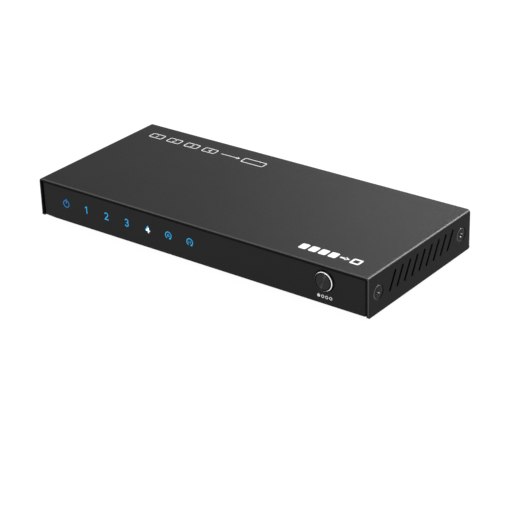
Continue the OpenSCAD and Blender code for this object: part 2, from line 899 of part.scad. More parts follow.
// Sheet frame folded round the switch, with a leg on each side through the board
module switch_frame() {
    leg_top = button_z;
    color(nickel)
        difference() {
            union() {
                translate([0, 0, button_z - switch_w / 2])
                    linear_extrude(switch_w)
                        difference() {
                            translate([button_x - switch_w / 2 - frame_t, frame_y])
                                square([switch_w + 2 * frame_t, frame_t + switch_d]);
                            translate([button_x - switch_w / 2, housing_y])
                                square([switch_w, switch_d + cut]);
                        }
                for (side = [-1, 1])
                    translate([button_x + side * (switch_w + frame_t) / 2, switch_leg_y,
                            (leg_top + board_z - leg_tail) / 2])
                        cube([frame_t, switch_leg_w, leg_top - board_z + leg_tail], center = true);
            }
            facing_rear(button_x, frame_y - cut, button_z)
                cylinder(h = frame_t + 2 * cut, d = stem_d + guide_slack);
        }
}

// Domed disc on the floor of the switch's pocket, with its crown to the front
module switch_dome() {
    rim_r = plunger_d / 2;
    dome_r = (rim_r * rim_r + dome_h * dome_h) / (2 * dome_h);
    color(nickel)
        facing_rear(button_x, housing_y + pocket_len, button_z)
            mirror([0, 0, 1])
                rotate_extrude()
                    intersection() {
                        translate([0, dome_h - dome_r])
                            difference() {
                                circle(dome_r);
                                circle(dome_r - dome_t);
                            }
                        square([rim_r, dome_h]);
                    }
}

module switch_plunger() {
    color(black_plastic)
        facing_rear(button_x, housing_y + plunger_play, button_z) {
            cylinder(h = plunger_t, d = plunger_d);
            translate([0, 0, -stem_len]) cylinder(h = stem_len + plunger_t, d = stem_d);
        }
}

// Each socket's own place: X and Z at the middle of the mouth's floor, Z of the drawing to the front
module at_port(x) {
    translate([x, port_y, shell_z]) rotate([90, 0, 0]) children();
}

module socket_shell(x) {
    leg_low = -shell_t - board_t - leg_tail;
    leg_high = mouth_slant + shell_t;
    color(nickel)
        at_port(x) {
            linear_extrude(shell_len)
                difference() {
                    polygon(grown(mouth, shell_t));
                    polygon(mouth);
                }
            linear_extrude(flare_len)
                difference() {
                    polygon(grown(mouth, shell_t + flare_h));
                    polygon(mouth);
                }
            for (side = [-1, 1], leg = shell_leg_at)
                translate([side * shell_leg_x, (leg_low + leg_high) / 2, leg])
                    cube([shell_t, leg_high - leg_low, shell_leg_w], center = true);
        }
}

module socket_insulator(x) {
    half = tongue_t / 2;
    color(black_plastic)
        at_port(x) {
            translate([0, 0, shell_len - block_len])
                linear_extrude(block_len) polygon(grown(mouth, -block_slack));
            translate([-tongue_w / 2, tongue_z, tongue_setback])
                rotate([0, 90, 0])
                    linear_extrude(tongue_w)
                        polygon([
                            [0, tongue_chamfer - half],
                            [-tongue_chamfer, -half],
                            [-tongue_len - block_len / 2, -half],
                            [-tongue_len - block_len / 2, half],
                            [-tongue_chamfer, half],
                            [0, half - tongue_chamfer]
                        ]);
        }
}

// Strips on the tongue and under it, and their solder tails behind the block
module socket_contacts(x) {
    strip_len = tongue_len - contact_setback;
    strip_y = (tongue_t + contact_t) / 2;
    rows = [[contact_count_over, strip_y], [contact_count_under, -strip_y]];
    last_tail = contact_count_over + contact_count_under - 1;
    color(gold)
        at_port(x) {
            for (row = rows, i = [0 : row[0] - 1])
                translate([(i - (row[0] - 1) / 2) * contact_pitch, tongue_z + row[1],
                        tongue_setback + contact_setback + strip_len / 2])
                    cube([contact_w, contact_t, strip_len], center = true);
            for (i = [0 : last_tail])
                translate([(i - last_tail / 2) * contact_pitch / 2, tail_t / 2 - shell_t,
                        shell_len + tail_len / 2])
                    cube([tail_w, tail_t, tail_len], center = true);
        }
}

module power_jack_housing() {
    groove_w = jack_spring_w + 2 * jack_gap;
    color(black_plastic)
        difference() {
            union() {
                translate([jack_x, 0, board_top])
                    extrude_y(jack_back, rear_in - jack_gap) arch(jack_w, jack_h, jack_r);
                facing_rear(jack_x, jack_bore_y, jack_z) cylinder(h = jack_bore_len, d = jack_nose_d);
            }
            facing_rear(jack_x, jack_bore_y, jack_z)
                cylinder(h = jack_bore_len + cut, d = jack_bore_d);
            translate([jack_x - groove_w / 2, jack_bore_y, jack_groove_z])
                cube([groove_w, jack_spring_len, jack_bore_d / 2]);
        }
}

module power_jack_pin() {
    tip_y = jack_bore_len - jack_pin_setback - jack_pin_d / 2;
    color(nickel)
        facing_rear(jack_x, jack_bore_y, jack_z) {
            cylinder(h = jack_disc_t, d = jack_pin_d + 2 * jack_disc_rim);
            cylinder(h = tip_y, d = jack_pin_d);
            translate([0, 0, tip_y]) sphere(d = jack_pin_d);
        }
}

// Bowed strip in the groove under the bore
module power_jack_spring() {
    under = [
        [0, 0],
        [jack_spring_flat, 0],
        [jack_spring_flat + jack_spring_ramp, jack_spring_bow],
        [jack_spring_len - jack_spring_ramp, jack_spring_bow],
        [jack_spring_len, 0]
    ];
    over = [for (i = [len(under) - 1 : -1 : 0]) under[i] + [0, jack_spring_t]];
    color(nickel)
        translate([0, jack_bore_y, jack_groove_z])
            extrude_x(jack_x - jack_spring_w / 2, jack_x + jack_spring_w / 2)
                polygon(concat(under, over));
}

module ir_receiver() {
    color(lens_violet) {
        translate([ir_x - ir_w / 2, ir_y, board_top]) cube([ir_w, ir_d, ir_h]);
        translate([ir_x, ir_y, mark_z]) sphere(ir_lens_r);
    }
}

module ir_receiver_leads() {
    color(nickel)
        for (i = [-1, 0, 1])
            translate([ir_x + i * ir_lead_pitch, ir_y + ir_d / 2, board_z - leg_tail])
                linear_extrude(board_t + leg_tail) square(ir_lead_w, center = true);
}

// Flat package at a place on the board
module package(at, w, d, z, h) {
    translate([at.x, at.y, z]) linear_extrude(h) square([w, d], center = true);
}

module switch_chip() {
    color(epoxy) package(chip_at, chip_w, chip_w, board_top, chip_t);
}

module thermal_pad() {
    color(pad_grey) package(chip_at, chip_w, chip_w, board_top + chip_t, pad_t);
}

module heatsink() {
    low = board_top + chip_t + pad_t;
    fins = floor((sink_w - sink_fin_t) / sink_pitch) + 1;
    color(aluminium) {
        package(chip_at, sink_w, sink_w, low, sink_base);
        for (i = [0 : fins - 1])
            package(chip_at + [(i - (fins - 1) / 2) * sink_pitch, 0], sink_fin_t, sink_w, low,
                sink_base + sink_fin_h);
    }
}

module controller_chip() {
    color(epoxy) package(controller_at, controller_w, controller_w, board_top, chip_t);
}

module crystal() {
    color(nickel)
        translate([crystal_at.x, crystal_at.y, board_top])
            linear_extrude(crystal_h) rotate(90) stadium(crystal_l, crystal_w);
}

module regulator() {
    color(epoxy) {
        package(regulator_at, regulator_w, regulator_d, board_top, regulator_t);
        package(regulator_at + [0, regulator_d / 2], regulator_tab_w, 2 * regulator_tab_l, board_top,
            regulator_tab_t);
    }
}

module inductor() {
    color(pad_grey)
        translate([inductor_at.x, inductor_at.y, board_top])
            linear_extrude(inductor_h) rounded(inductor_w, inductor_w, inductor_r);
}

module bulk_capacitors() {
    base_w = cap_d + 2 * cap_margin;
    color(aluminium)
        for (at = capacitor_at) {
            package(at, base_w, base_w, board_top, cap_base);
            translate([at.x, at.y, board_top]) cylinder(h = cap_h, d = cap_d);
        }
}

module port_chips() {
    y = port_y - shell_len - port_chip_gap - port_chip_d / 2;
    color(epoxy)
        for (x = port_x)
            package([x, y], port_chip_w, port_chip_d, board_top, chip_t);
}

top_cover();
base_tray();
cover_screws();
front_overlay();
button_cap();
for (i = [0 : len(FEET) - 1])
    foot(i);
main_board();
board_posts();
board_screws();
light_pipe();
for (i = [0 : len(LEDS) - 1])
    led(i);
switch_housing();
switch_frame();
switch_dome();
switch_plunger();
for (i = [0 : len(PORTS) - 1]) {
    socket_shell(port_x[i]);
    socket_insulator(port_x[i]);
    socket_contacts(port_x[i]);
}
power_jack_housing();
power_jack_pin();
power_jack_spring();
ir_receiver();
ir_receiver_leads();
switch_chip();
thermal_pad();
heatsink();
controller_chip();
crystal();
regulator();
inductor();
bulk_capacitors();
port_chips();
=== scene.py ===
"""Looks of a video switch box: a folded steel case with lit marks, a spun button and five sockets."""

import logging
import math
from collections.abc import Callable, Iterable, Sequence
from dataclasses import dataclass, field, replace
from enum import Enum, IntEnum

import bmesh
import bpy
from bmesh.types import BMEdge, BMesh, BMFace, BMVert
from bpy.types import ID, Material, Mesh, Node, NodeSocket, NodeTree, Object
from mathutils import Matrix, Vector


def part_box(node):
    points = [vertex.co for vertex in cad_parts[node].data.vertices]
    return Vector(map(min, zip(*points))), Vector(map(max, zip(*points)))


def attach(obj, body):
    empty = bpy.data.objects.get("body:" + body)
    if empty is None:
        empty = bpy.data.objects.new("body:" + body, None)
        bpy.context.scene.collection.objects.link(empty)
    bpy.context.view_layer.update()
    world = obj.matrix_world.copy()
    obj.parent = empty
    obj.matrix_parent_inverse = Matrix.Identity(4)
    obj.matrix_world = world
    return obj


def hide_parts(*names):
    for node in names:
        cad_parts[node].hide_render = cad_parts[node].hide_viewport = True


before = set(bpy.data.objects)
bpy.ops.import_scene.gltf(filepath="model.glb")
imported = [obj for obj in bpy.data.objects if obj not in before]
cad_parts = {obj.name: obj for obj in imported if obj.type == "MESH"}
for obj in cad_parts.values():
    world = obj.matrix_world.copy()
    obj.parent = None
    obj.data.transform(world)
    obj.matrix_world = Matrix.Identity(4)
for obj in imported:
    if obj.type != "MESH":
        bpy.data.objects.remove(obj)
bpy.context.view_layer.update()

MM = 0.001
# Distance under which the loose corners of a copied solid are one corner
MERGE = 0.0005 * MM
# Turn between two faces under which they are one flat face
FLAT_TURN = math.radians(0.4)
# Turn between two faces past which their edge is rounded off
EDGE_TURN = math.radians(38)
# Turn between two faces past which their edge is shaded as a crease
CREASE_TURN = math.radians(42)
# Facets round a turned piece
ROUND_STEPS = 96
# Values between which nearly all of a cloudy noise lies
NOISE_LOW = 0.3
NOISE_HIGH = 0.7
# Parts of a unit normal along an axis: hardly any of it, some of it and nearly all of it
SLIGHT = 0.02
LEANING = 0.1
NEARLY_ALL = 0.99
# Name of the map that runs round a turned piece and outwards from its middle
POLAR_MAP = "polar"
# Number of video inputs
INPUTS = 4

Colour = tuple[float, float, float]
# A pair across and up
Point = tuple[float, float]
# Two values along one axis
Span = tuple[float, float]

log = logging.getLogger("switch_box")


class Body(Enum):
    """Bodies of the frame that pieces ride on."""

    CASE = "case"
    BUTTON = "button"


class Slot(Enum):
    """Material slots of the record."""

    COAT = "black_coat"
    SCREW = "black_screw"
    FILM = "overlay_film"
    SPUN = "spun_metal"
    RUBBER = "foot_rubber"
    LAMINATE = "board_laminate"
    ZINC = "zinc_steel"
    NICKEL = "nickel_sheet"
    GOLD = "gold_plate"
    PLASTIC = "black_plastic"
    CLEAR = "clear_plastic"
    LED = "led_plastic"
    RECEIVER = "ir_plastic"
    EPOXY = "chip_epoxy"
    PAD = "pad_rubber"
    SINK = "sink_aluminium"
    FERRITE = "ferrite"
    CAN = "can_aluminium"


class SheetFace(IntEnum):
    """Material numbers on the cover's sheet."""

    PLAIN = 0
    # Fold ridge facets, in the coat of the painted fold highlight
    FOLD = 1
    # Outer rim roundings, in the coat of the painted rim highlight
    ROUNDED = 2
    # Cut faces, in the coat of the painted shade
    CUT = 3


class ScrewFace(IntEnum):
    """Material numbers on a cover screw."""

    HEAD = 0
    RIM = 1
    WORN = 2


class CapFace(IntEnum):
    """Material numbers on the button's cap."""

    FACE = 0
    CHAMFER = 1
    # Groove faces, in painted shade
    GROOVE = 2


class PanelFace(IntEnum):
    """Material numbers on the front panel."""

    FILM = 0
    # The overlay's slope, in the coat of the painted shade
    SLOPE = 1


class Facing(Enum):
    """Sides of the case that a flat sign is printed on, as the turn of its drawing plane."""

    FRONT = Matrix.Rotation(math.pi / 2, 4, "X")
    TOP = Matrix.Identity(4)


class ShaderDesk:
    """A material in the making, with short calls for the nodes that the finishes share."""

    def __init__(self, name: str) -> None:
        """Starts a material with one principled shader.

        Args:
            name: Name of the material.
        """
        self.material: Material = bpy.data.materials.new(name)
        self.material.use_nodes = True
        self.tree = self.material.node_tree
        self.shader: Node = self.tree.nodes["Principled BSDF"]
        self.place: NodeSocket = self.tree.nodes.new("ShaderNodeTexCoord").outputs["Object"]

    def node(self, kind: str, **settings: object) -> Node:
        """Adds a node.

        Args:
            kind: Type of the node, without its common prefix.
            settings: Properties to set on it.

        Returns:
            The node.
        """
        node = self.tree.nodes.new("ShaderNode" + kind)
        for name, value in settings.items():
            setattr(node, name, value)
        return node

    def link(self, source: NodeSocket, target: NodeSocket) -> None:
        """Links an output to an input."""
        self.tree.links.new(source, target)

    def stretched(self, stretch: Sequence[float]) -> NodeSocket:
        """Object coordinates drawn out along the axes.

        Args:
            stretch: Factor on each axis; a small one draws the pattern out along that axis.

        Returns:
            The stretched coordinates.
        """
        mapping = self.node("Mapping")
        mapping.inputs["Scale"].default_value = stretch
        self.link(self.place, mapping.inputs["Vector"])
        return mapping.outputs["Vector"]

    def noise(self, size: float, detail: float = 3.0, vector: NodeSocket | None = None) -> NodeSocket:
        """Cloudy noise.

        Args:
            size: Size of its largest clouds in metres.
            detail: Number of finer layers.
            vector: Coordinates to read, or None for plain Object coordinates.

        Returns:
            The noise, from 0 to 1.
        """
        noise = self.node("TexNoise")
        noise.inputs["Scale"].default_value = 1.0 / size
        noise.inputs["Detail"].default_value = detail
        self.link(vector or self.place, noise.inputs["Vector"])
        return noise.outputs["Fac"]

    def span(self, value: NodeSocket, low: float, high: float) -> NodeSocket:
        """Noise spread over a range of values.

        Args:
            value: The noise.
            low: Value at its dark end.
            high: Value at its light end.

        Returns:
            The spread value.
        """
        spread = self.node("MapRange")
        ends = {"From Min": NOISE_LOW, "From Max": NOISE_HIGH, "To Min": low, "To Max": high}
        for name, end in ends.items():
            spread.inputs[name].default_value = end
        self.link(value, spread.inputs["Value"])
        return spread.outputs["Result"]

    def tint(self, value: NodeSocket, dark: Colour, light: Colour) -> NodeSocket:
        """Colour that follows a noise.

        Args:
            value: The noise.
            dark: Colour at its dark end.
            light: Colour at its light end.

        Returns:
            The colour.
        """
        ramp = self.node("ValToRGB")
        first, last = ramp.color_ramp.elements
        first.position, last.position = NOISE_LOW, NOISE_HIGH
        first.color = (*dark, 1.0)
        last.color = (*light, 1.0)
        self.link(value, ramp.inputs["Fac"])
        return ramp.outputs["Color"]

    def rough(self, value: NodeSocket, mean: float, spread: float) -> None:
        """Lets a noise vary the roughness round a mean."""
        self.feed("Roughness", self.span(value, mean - spread, mean + spread))

    def shaded(self, value: NodeSocket, colour: Colour, dull: float, bright: float) -> NodeSocket:
        """A colour that a noise makes darker and lighter by two factors."""
        return self.tint(value, scaled(colour, dull), scaled(colour, bright))

    def relief(self, height: NodeSocket, depth: float, strength: float = 1.0) -> None:
        """Bumps the surface.

        Args:
            height: The relief, from 0 to 1.
            depth: Its depth in metres.
            strength: How much of it shows.
        """
        bump = self.node("Bump")
        bump.inputs["Strength"].default_value = strength
        bump.inputs["Distance"].default_value = depth
        self.link(height, bump.inputs["Height"])
        self.link(bump.outputs["Normal"], self.shader.inputs["Normal"])

    def feed(self, socket: str, source: NodeSocket) -> None:
        """Links a pattern to one socket of the shader."""
        self.link(source, self.shader.inputs[socket])

    def fix(self, **values: object) -> None:
        """Sets plain values on the shader's own sockets, named with _ for a space."""
        for name, value in values.items():
            self.shader.inputs[name.replace("_", " ")].default_value = value


def scaled(colour: Colour, factor: float) -> Colour:
    """A colour made lighter or darker by a factor."""
    return tuple(min(1.0, channel * factor) for channel in colour)


@dataclass(frozen=True)
class Finish:
    """A surface finish, with the record slot that it belongs to."""

    name: str
    slot: Slot
    colour: Colour
    roughness: float = 0.5

    def shade(self, desk: ShaderDesk) -> None:
        """Makes the finish's shader; each kind of finish has its own."""
        raise NotImplementedError

    def material(self) -> Material:
        """The finish's material, made when it is first asked for.

        Returns:
            The material.
        """
        found = bpy.data.materials.get(self.name)
        if found is not None:
            return found
        desk = ShaderDesk(self.name)
        self.shade(desk)
        return desk.material


@dataclass(frozen=True)
class GrainedFinish(Finish):
    """A matt surface with fine grain and a faint mottle: powder coat, moulding, film or rubber."""

    gloss: float = 0.5
    grain: float = 0.3 * MM
    depth: float = 0.01 * MM
    mottle: float = 0.08
    cloud_grains: float = 60.0
    rough_spread: float = 0.05

    def shade(self, desk: ShaderDesk) -> None:
        """Mottles the colour, and lets the grain roughen and bump the surface.

        Args:
            desk: The material in the making.
        """
        grain = desk.noise(self.grain, detail=2.0)
        cloud = desk.noise(self.cloud_grains * self.grain, detail=4.0)
        desk.feed("Base Color", desk.shaded(cloud, self.colour, 1.0 - self.mottle, 1.0 + self.mottle))
        desk.rough(grain, self.roughness, self.rough_spread)
        desk.relief(grain, self.depth)
        desk.fix(Specular_IOR_Level=self.gloss)


@dataclass(frozen=True)
class MetalFinish(Finish):
    """Plated, extruded or drawn metal with a faint brush along one axis."""

    brush: tuple[float, float, float] = (1.0, 1.0, 1.0)
    grain: float = 0.2 * MM
    depth: float = 0.003 * MM
    cloud: float = 4.0 * MM
    dull: float = 0.9
    bright: float = 1.06
    rough_spread: float = 0.07

    def shade(self, desk: ShaderDesk) -> None:
        """Brushes the metal and clouds its plating.

        Args:
            desk: The material in the making.
        """
        lines = desk.noise(self.grain, detail=3.0, vector=desk.stretched(self.brush))
        cloud = desk.noise(self.cloud, detail=3.0)
        desk.feed("Base Color", desk.shaded(cloud, self.colour, self.dull, self.bright))
        desk.rough(lines, self.roughness, self.rough_spread)
        desk.relief(lines, self.depth)
        desk.fix(Metallic=1.0)


@dataclass(frozen=True)
class SpunFinish(Finish):
    """Metal turned on a lathe: rings round the middle, and a sheen across them."""

    sheen: float = 0.8
    rings: float = 90.0
    ring_depth: float = 0.004 * MM
    dull: float = 0.8
    bright: float = 1.15
    rough_spread: float = 0.06
    quarter_turn: float = 0.25

    def shade(self, desk: ShaderDesk) -> None:
        """Reads the piece's own polar map: U runs round it and V from the middle outwards.

        Args:
            desk: The material in the making.
        """
        polar = desk.node("UVMap", uv_map=POLAR_MAP)
        split = desk.node("SeparateXYZ")
        desk.link(polar.outputs["UV"], split.inputs["Vector"])
        rings = desk.node("TexNoise", noise_dimensions="1D")
        rings.inputs["Scale"].default_value = self.rings
        rings.inputs["Detail"].default_value = 3.0
        desk.link(split.outputs["Y"], rings.inputs["W"])
        tangent = desk.node("Tangent", direction_type="UV_MAP", uv_map=POLAR_MAP)
        desk.feed("Tangent", tangent.outputs["Tangent"])
        ring = rings.outputs["Fac"]
        desk.feed("Base Color", desk.shaded(ring, self.colour, self.dull, self.bright))
        desk.rough(ring, self.roughness, self.rough_spread)
        desk.relief(ring, self.ring_depth)
        desk.fix(Metallic=1.0, Anisotropic=self.sheen, Anisotropic_Rotation=self.quarter_turn)


@dataclass(frozen=True)
class InkFinish(Finish):
    """Printed ink, plain or lit from behind, a little uneven as a screen print is."""

    glow: float = 0.0
    body: float = 1.0
    gloss: float = 0.5
    unevenness: float = 0.1
    patch: float = 0.8 * MM
    grain: float = 0.15 * MM
    depth: float = 0.002 * MM
    rough_spread: float = 0.06

    def shade(self, desk: ShaderDesk) -> None:
        """Lays the ink unevenly, and lights it where it is lit from behind.

        Args:
            desk: The material in the making.
        """
        patch = desk.noise(self.patch, detail=2.0)
        dark = scaled(self.colour, 1.0 - self.unevenness)
        light = scaled(self.colour, 1.0 + self.unevenness)
        desk.feed("Base Color", desk.tint(patch, scaled(dark, self.body), scaled(light, self.body)))
        desk.rough(patch, self.roughness, self.rough_spread)
        desk.relief(desk.noise(self.grain), self.depth)
        desk.fix(Specular_IOR_Level=self.gloss)
        if self.glow:
            desk.feed("Emission Color", desk.tint(patch, dark, light))
            desk.fix(Emission_Strength=self.glow)


@dataclass(frozen=True)
class ClearFinish(Finish):
    """Clear moulded plastic with faint flow clouds."""

    passing: float = 0.9
    bend: float = 1.49
    cloud: float = 2.0 * MM
    dull: float = 0.94
    rough_share: float = 0.3

    def shade(self, desk: ShaderDesk) -> None:
        """Clouds the plastic a little.

        Args:
            desk: The material in the making.
        """
        cloud = desk.noise(self.cloud, detail=3.0)
        desk.feed("Base Color", desk.shaded(cloud, self.colour, self.dull, 1.0))
        desk.rough(cloud, self.roughness, self.roughness * self.rough_share)
        desk.fix(Transmission_Weight=self.passing, IOR=self.bend)


@dataclass(frozen=True)
class LaminateFinish(Finish):
    """Circuit board under solder mask, with the tracks showing through."""

    track: Colour = (0.03, 0.2, 0.09)
    pitch: float = 1.2 * MM
    run_pitches: float = 9.0
    track_share: float = 0.2
    dull: float = 0.85
    cloud: float = 1.5 * MM
    rough_spread: float = 0.08
    track_depth: float = 0.03 * MM

    def shade(self, desk: ShaderDesk) -> None:
        """Runs tracks across the board and clouds the mask.

        Args:
            desk: The material in the making.
        """
        bricks = desk.node("TexBrick", offset=0.5)
        settings = {
            "Scale": 1.0,
            "Brick Width": self.run_pitches * self.pitch,
            "Row Height": self.pitch,
            "Mortar Size": self.track_share * self.pitch,
            "Mortar Smooth": 0.1,
            "Color1": (*self.colour, 1.0),
            "Color2": (*scaled(self.colour, self.dull), 1.0),
            "Mortar": (*self.track, 1.0),
        }
        for name, value in settings.items():
            bricks.inputs[name].default_value = value
        desk.link(desk.place, bricks.inputs["Vector"])
        desk.feed("Base Color", bricks.outputs["Color"])
        desk.rough(desk.noise(self.cloud), self.roughness, self.rough_spread)
        desk.relief(bricks.outputs["Fac"], self.track_depth, strength=0.5)


COAT = GrainedFinish("powder_coat", Slot.COAT, (0.0095, 0.0095, 0.0097), 0.5, gloss=0.058,
                     grain=0.35 * MM, depth=0.006 * MM)
# Lighter, glossier coat for the fold ridge facets picked by their tilt: a painted highlight along the folds
FOLD_HIGHLIGHT_COAT = replace(COAT, name="coat_with_painted_fold_highlight", colour=(0.012, 0.012, 0.0123), roughness=0.34, gloss=0.32,
                    depth=0.004 * MM)
# Much lighter, glossier coat on the rounded outer rims: a painted highlight along the front and rear rims
RIM_HIGHLIGHT_COAT = replace(FOLD_HIGHLIGHT_COAT, name="coat_with_painted_rim_highlight", colour=(0.045, 0.045, 0.046), roughness=0.32, gloss=0.45)
# Darker coat on the sheet's cut faces and the overlay's slope: painted shade in the gap under the cover's lip
CUT_SHADE_COAT = replace(COAT, name="coat_with_painted_cut_shade", colour=(0.006, 0.006, 0.006), gloss=0.05)
TRAY_COAT = replace(COAT, name="tray_coat", colour=(0.013, 0.013, 0.0133), roughness=0.4, gloss=0.08)
FILM = GrainedFinish("satin_film", Slot.FILM, (0.0165, 0.0165, 0.0167), 0.42, gloss=0.06,
                     grain=0.14 * MM, depth=0.003 * MM, mottle=0.04)
SCREW_BLACK = GrainedFinish("screw_black", Slot.SCREW, (0.01, 0.01, 0.0102), 0.36, gloss=0.07,
                            grain=0.2 * MM, depth=0.003 * MM)
RUBBED_RIM = MetalFinish("rubbed_rim", Slot.SCREW, (0.15, 0.15, 0.153), 0.34)
WORN_STEEL = replace(RUBBED_RIM, name="worn_steel", colour=(0.3, 0.3, 0.31))
RUBBER = GrainedFinish("foot_rubber", Slot.RUBBER, (0.022, 0.022, 0.022), 0.78, gloss=0.3,
                       grain=0.25 * MM, depth=0.02 * MM)
MOULDING = GrainedFinish("black_moulding", Slot.PLASTIC, (0.02, 0.02, 0.021), 0.42,
                         grain=0.12 * MM, depth=0.004 * MM)
EPOXY = GrainedFinish("chip_epoxy", Slot.EPOXY, (0.026, 0.026, 0.028), 0.6,
                      grain=0.1 * MM, depth=0.005 * MM)
RECEIVER = GrainedFinish("receiver_plastic", Slot.RECEIVER, (0.03, 0.015, 0.04), 0.15,
                         grain=0.4 * MM, depth=0.001 * MM)
PAD = GrainedFinish("thermal_pad", Slot.PAD, (0.32, 0.36, 0.42), 0.8, grain=0.2 * MM)
FERRITE = GrainedFinish("ferrite", Slot.FERRITE, (0.11, 0.11, 0.12), 0.62, grain=0.15 * MM)
SPUN_FACE = SpunFinish("spun_face", Slot.SPUN, (0.033, 0.033, 0.034), 0.36, sheen=1.0)
BRIGHT_CUT = SpunFinish("bright_cut", Slot.SPUN, (0.97, 0.97, 0.98), 0.16, sheen=0.4, rings=240.0)
# Near-black finish for the cap's groove: painted shade in the groove
GROOVE_PAINTED_SHADE = SpunFinish("painted_groove_shade", Slot.SPUN, (0.004, 0.004, 0.004), 0.5, sheen=0.5)
NICKEL = MetalFinish("nickel_plate", Slot.NICKEL, (0.66, 0.65, 0.63), 0.27, brush=(1.0, 0.12, 1.0))
ZINC = MetalFinish("zinc_plate", Slot.ZINC, (0.62, 0.63, 0.65), 0.33)
GOLD = MetalFinish("gold_flash", Slot.GOLD, (0.83, 0.6, 0.22), 0.24, brush=(1.0, 0.15, 1.0))
SINK = MetalFinish("extruded_aluminium", Slot.SINK, (0.6, 0.61, 0.63), 0.36, brush=(1.0, 0.06, 1.0))
CAN = MetalFinish("drawn_can", Slot.CAN, (0.68, 0.69, 0.7), 0.26, brush=(1.0, 1.0, 0.1))
CLEAR = ClearFinish("clear_moulding", Slot.CLEAR, (0.93, 0.96, 0.98), 0.12)
LED = InkFinish("led_lens", Slot.LED, (0.62, 0.8, 0.95), 0.3, glow=0.6, body=0.5)
LAMINATE = LaminateFinish("solder_mask", Slot.LAMINATE, (0.016, 0.11, 0.05), 0.34)
COVER_PRINT = InkFinish("cover_print", Slot.COAT, (0.86, 0.86, 0.85), 0.55, unevenness=0.05)
PANEL_PRINT = replace(COVER_PRINT, name="panel_print", slot=Slot.FILM, colour=(0.84, 0.84, 0.83),
                      roughness=0.5)
DEEP_BLUE = InkFinish("lit_deep_blue", Slot.LED, (0.02, 0.25, 0.65), 0.4, glow=0.95, body=0.2, gloss=0.06)
SKY_BLUE = replace(DEEP_BLUE, name="lit_sky_blue", colour=(0.028, 0.41, 0.8))
PALE_BLUE = replace(DEEP_BLUE, name="lit_pale_blue", colour=(0.05, 0.56, 0.95), glow=1.0)
LIT_WHITE = replace(PALE_BLUE, name="lit_white", colour=(0.95, 0.98, 1.0), body=0.3, unevenness=0.03)


def middle(node: str) -> Vector:
    """The middle of a CAD node's box."""
    low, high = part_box(node)
    return (low + high) / 2


def merged_copy(node: str) -> BMesh:
    """Copies a CAD node's mesh as one closed surface with whole flat faces.

    Args:
        node: Name of the node.

    Returns:
        The copy.
    """
    mesh = bmesh.new()
    mesh.from_mesh(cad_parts[node].data)
    bmesh.ops.remove_doubles(mesh, verts=mesh.verts, dist=MERGE)
    bmesh.ops.dissolve_limit(
        mesh, angle_limit=FLAT_TURN, use_dissolve_boundaries=False, verts=mesh.verts, edges=mesh.edges
    )
    return mesh


def any_edge(edge: BMEdge) -> bool:
    """Takes every edge."""
    return True


def edge_middle(edge: BMEdge) -> Vector:
    """The middle of an edge."""
    return (edge.verts[0].co + edge.verts[1].co) / 2


def soften(
    mesh: BMesh, width: float, segments: int = 2, number: int = 0, chosen: Callable[[BMEdge], bool] = any_edge
) -> None:
    """Rounds off the sharp edges of a closed mesh.

    Args:
        mesh: The mesh.
        width: How far the rounding reaches from each edge.
        segments: Number of strips in it.
        number: Material number of the rounding.
        chosen: Tells which of the sharp edges are rounded.
    """
    def sharp(edge: BMEdge) -> bool:
        """Tells whether two faces meet at the edge, and sharply."""
        return edge.is_manifold and edge.calc_face_angle() > EDGE_TURN

    edges = [edge for edge in mesh.edges if sharp(edge) and chosen(edge)]
    rounding = bmesh.ops.bevel(
        mesh, geom=edges, offset=width, offset_type="OFFSET", segments=segments, profile=0.5,
        affect="EDGES", clamp_overlap=False, material=-1,
    )
    for face in rounding["faces"]:
        face.material_index = number
    bmesh.ops.remove_doubles(mesh, verts=mesh.verts, dist=MERGE)
    mesh.normal_update()


def keep_inside(mesh: BMesh, node: str) -> None:
    """Moves what a rounding has pushed out of a CAD node's box back to the box.

    Args:
        mesh: The rounded mesh.
        node: Name of the node.
    """
    low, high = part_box(node)
    for vert in mesh.verts:
        vert.co = Vector(min(max(at, least), most) for at, least, most in zip(vert.co, low, high))


def turned(points: Sequence[Point], steps: int = ROUND_STEPS) -> BMesh:
    """Turns a profile round Z into a closed solid.

    Args:
        points: Radius and height of the profile's corners, from the axis to the axis.
        steps: Facets round the axis.

    Returns:
        The solid, with its faces outwards.
    """
    mesh = bmesh.new()
    verts = [mesh.verts.new((radius, 0.0, height)) for radius, height in points]
    edges = [mesh.edges.new(pair) for pair in zip(verts, verts[1:])]
    bmesh.ops.spin(
        mesh, geom=verts + edges, axis=(0, 0, 1), cent=(0, 0, 0), angle=math.tau, steps=steps, use_merge=True
    )
    bmesh.ops.remove_doubles(mesh, verts=mesh.verts, dist=MERGE)
    bmesh.ops.recalc_face_normals(mesh, faces=mesh.faces)
    return mesh


def as_data(name: str, mesh: BMesh) -> Mesh:
    """Stores a mesh as a data block.

    Args:
        name: Name of the block.
        mesh: The mesh, which is freed.

    Returns:
        The block.
    """
    data = bpy.data.meshes.new(name)
    mesh.to_mesh(data)
    mesh.free()
    return data


def linked(name: str, data: ID) -> Object:
    """Makes an object of a data block, and puts it into the scene.

    Args:
        name: Name of the object.
        data: The block: a mesh, a lamp or a camera.

    Returns:
        The object.
    """
    thing = bpy.data.objects.new(name, data)
    bpy.context.scene.collection.objects.link(thing)
    return thing


def joined(meshes: Iterable[BMesh]) -> BMesh:
    """Puts several meshes into one.

    Args:
        meshes: The meshes, which are freed.

    Returns:
        One mesh that holds them all.
    """
    whole = bmesh.new()
    for mesh in meshes:
        data = as_data("part", mesh)
        whole.from_mesh(data)
        bpy.data.meshes.remove(data)
    return whole


def scratch_object(mesh: BMesh) -> Object:
    """Makes a plain object of a mesh, which is freed, to work on with a modifier."""
    return linked("scratch", as_data("scratch", mesh))


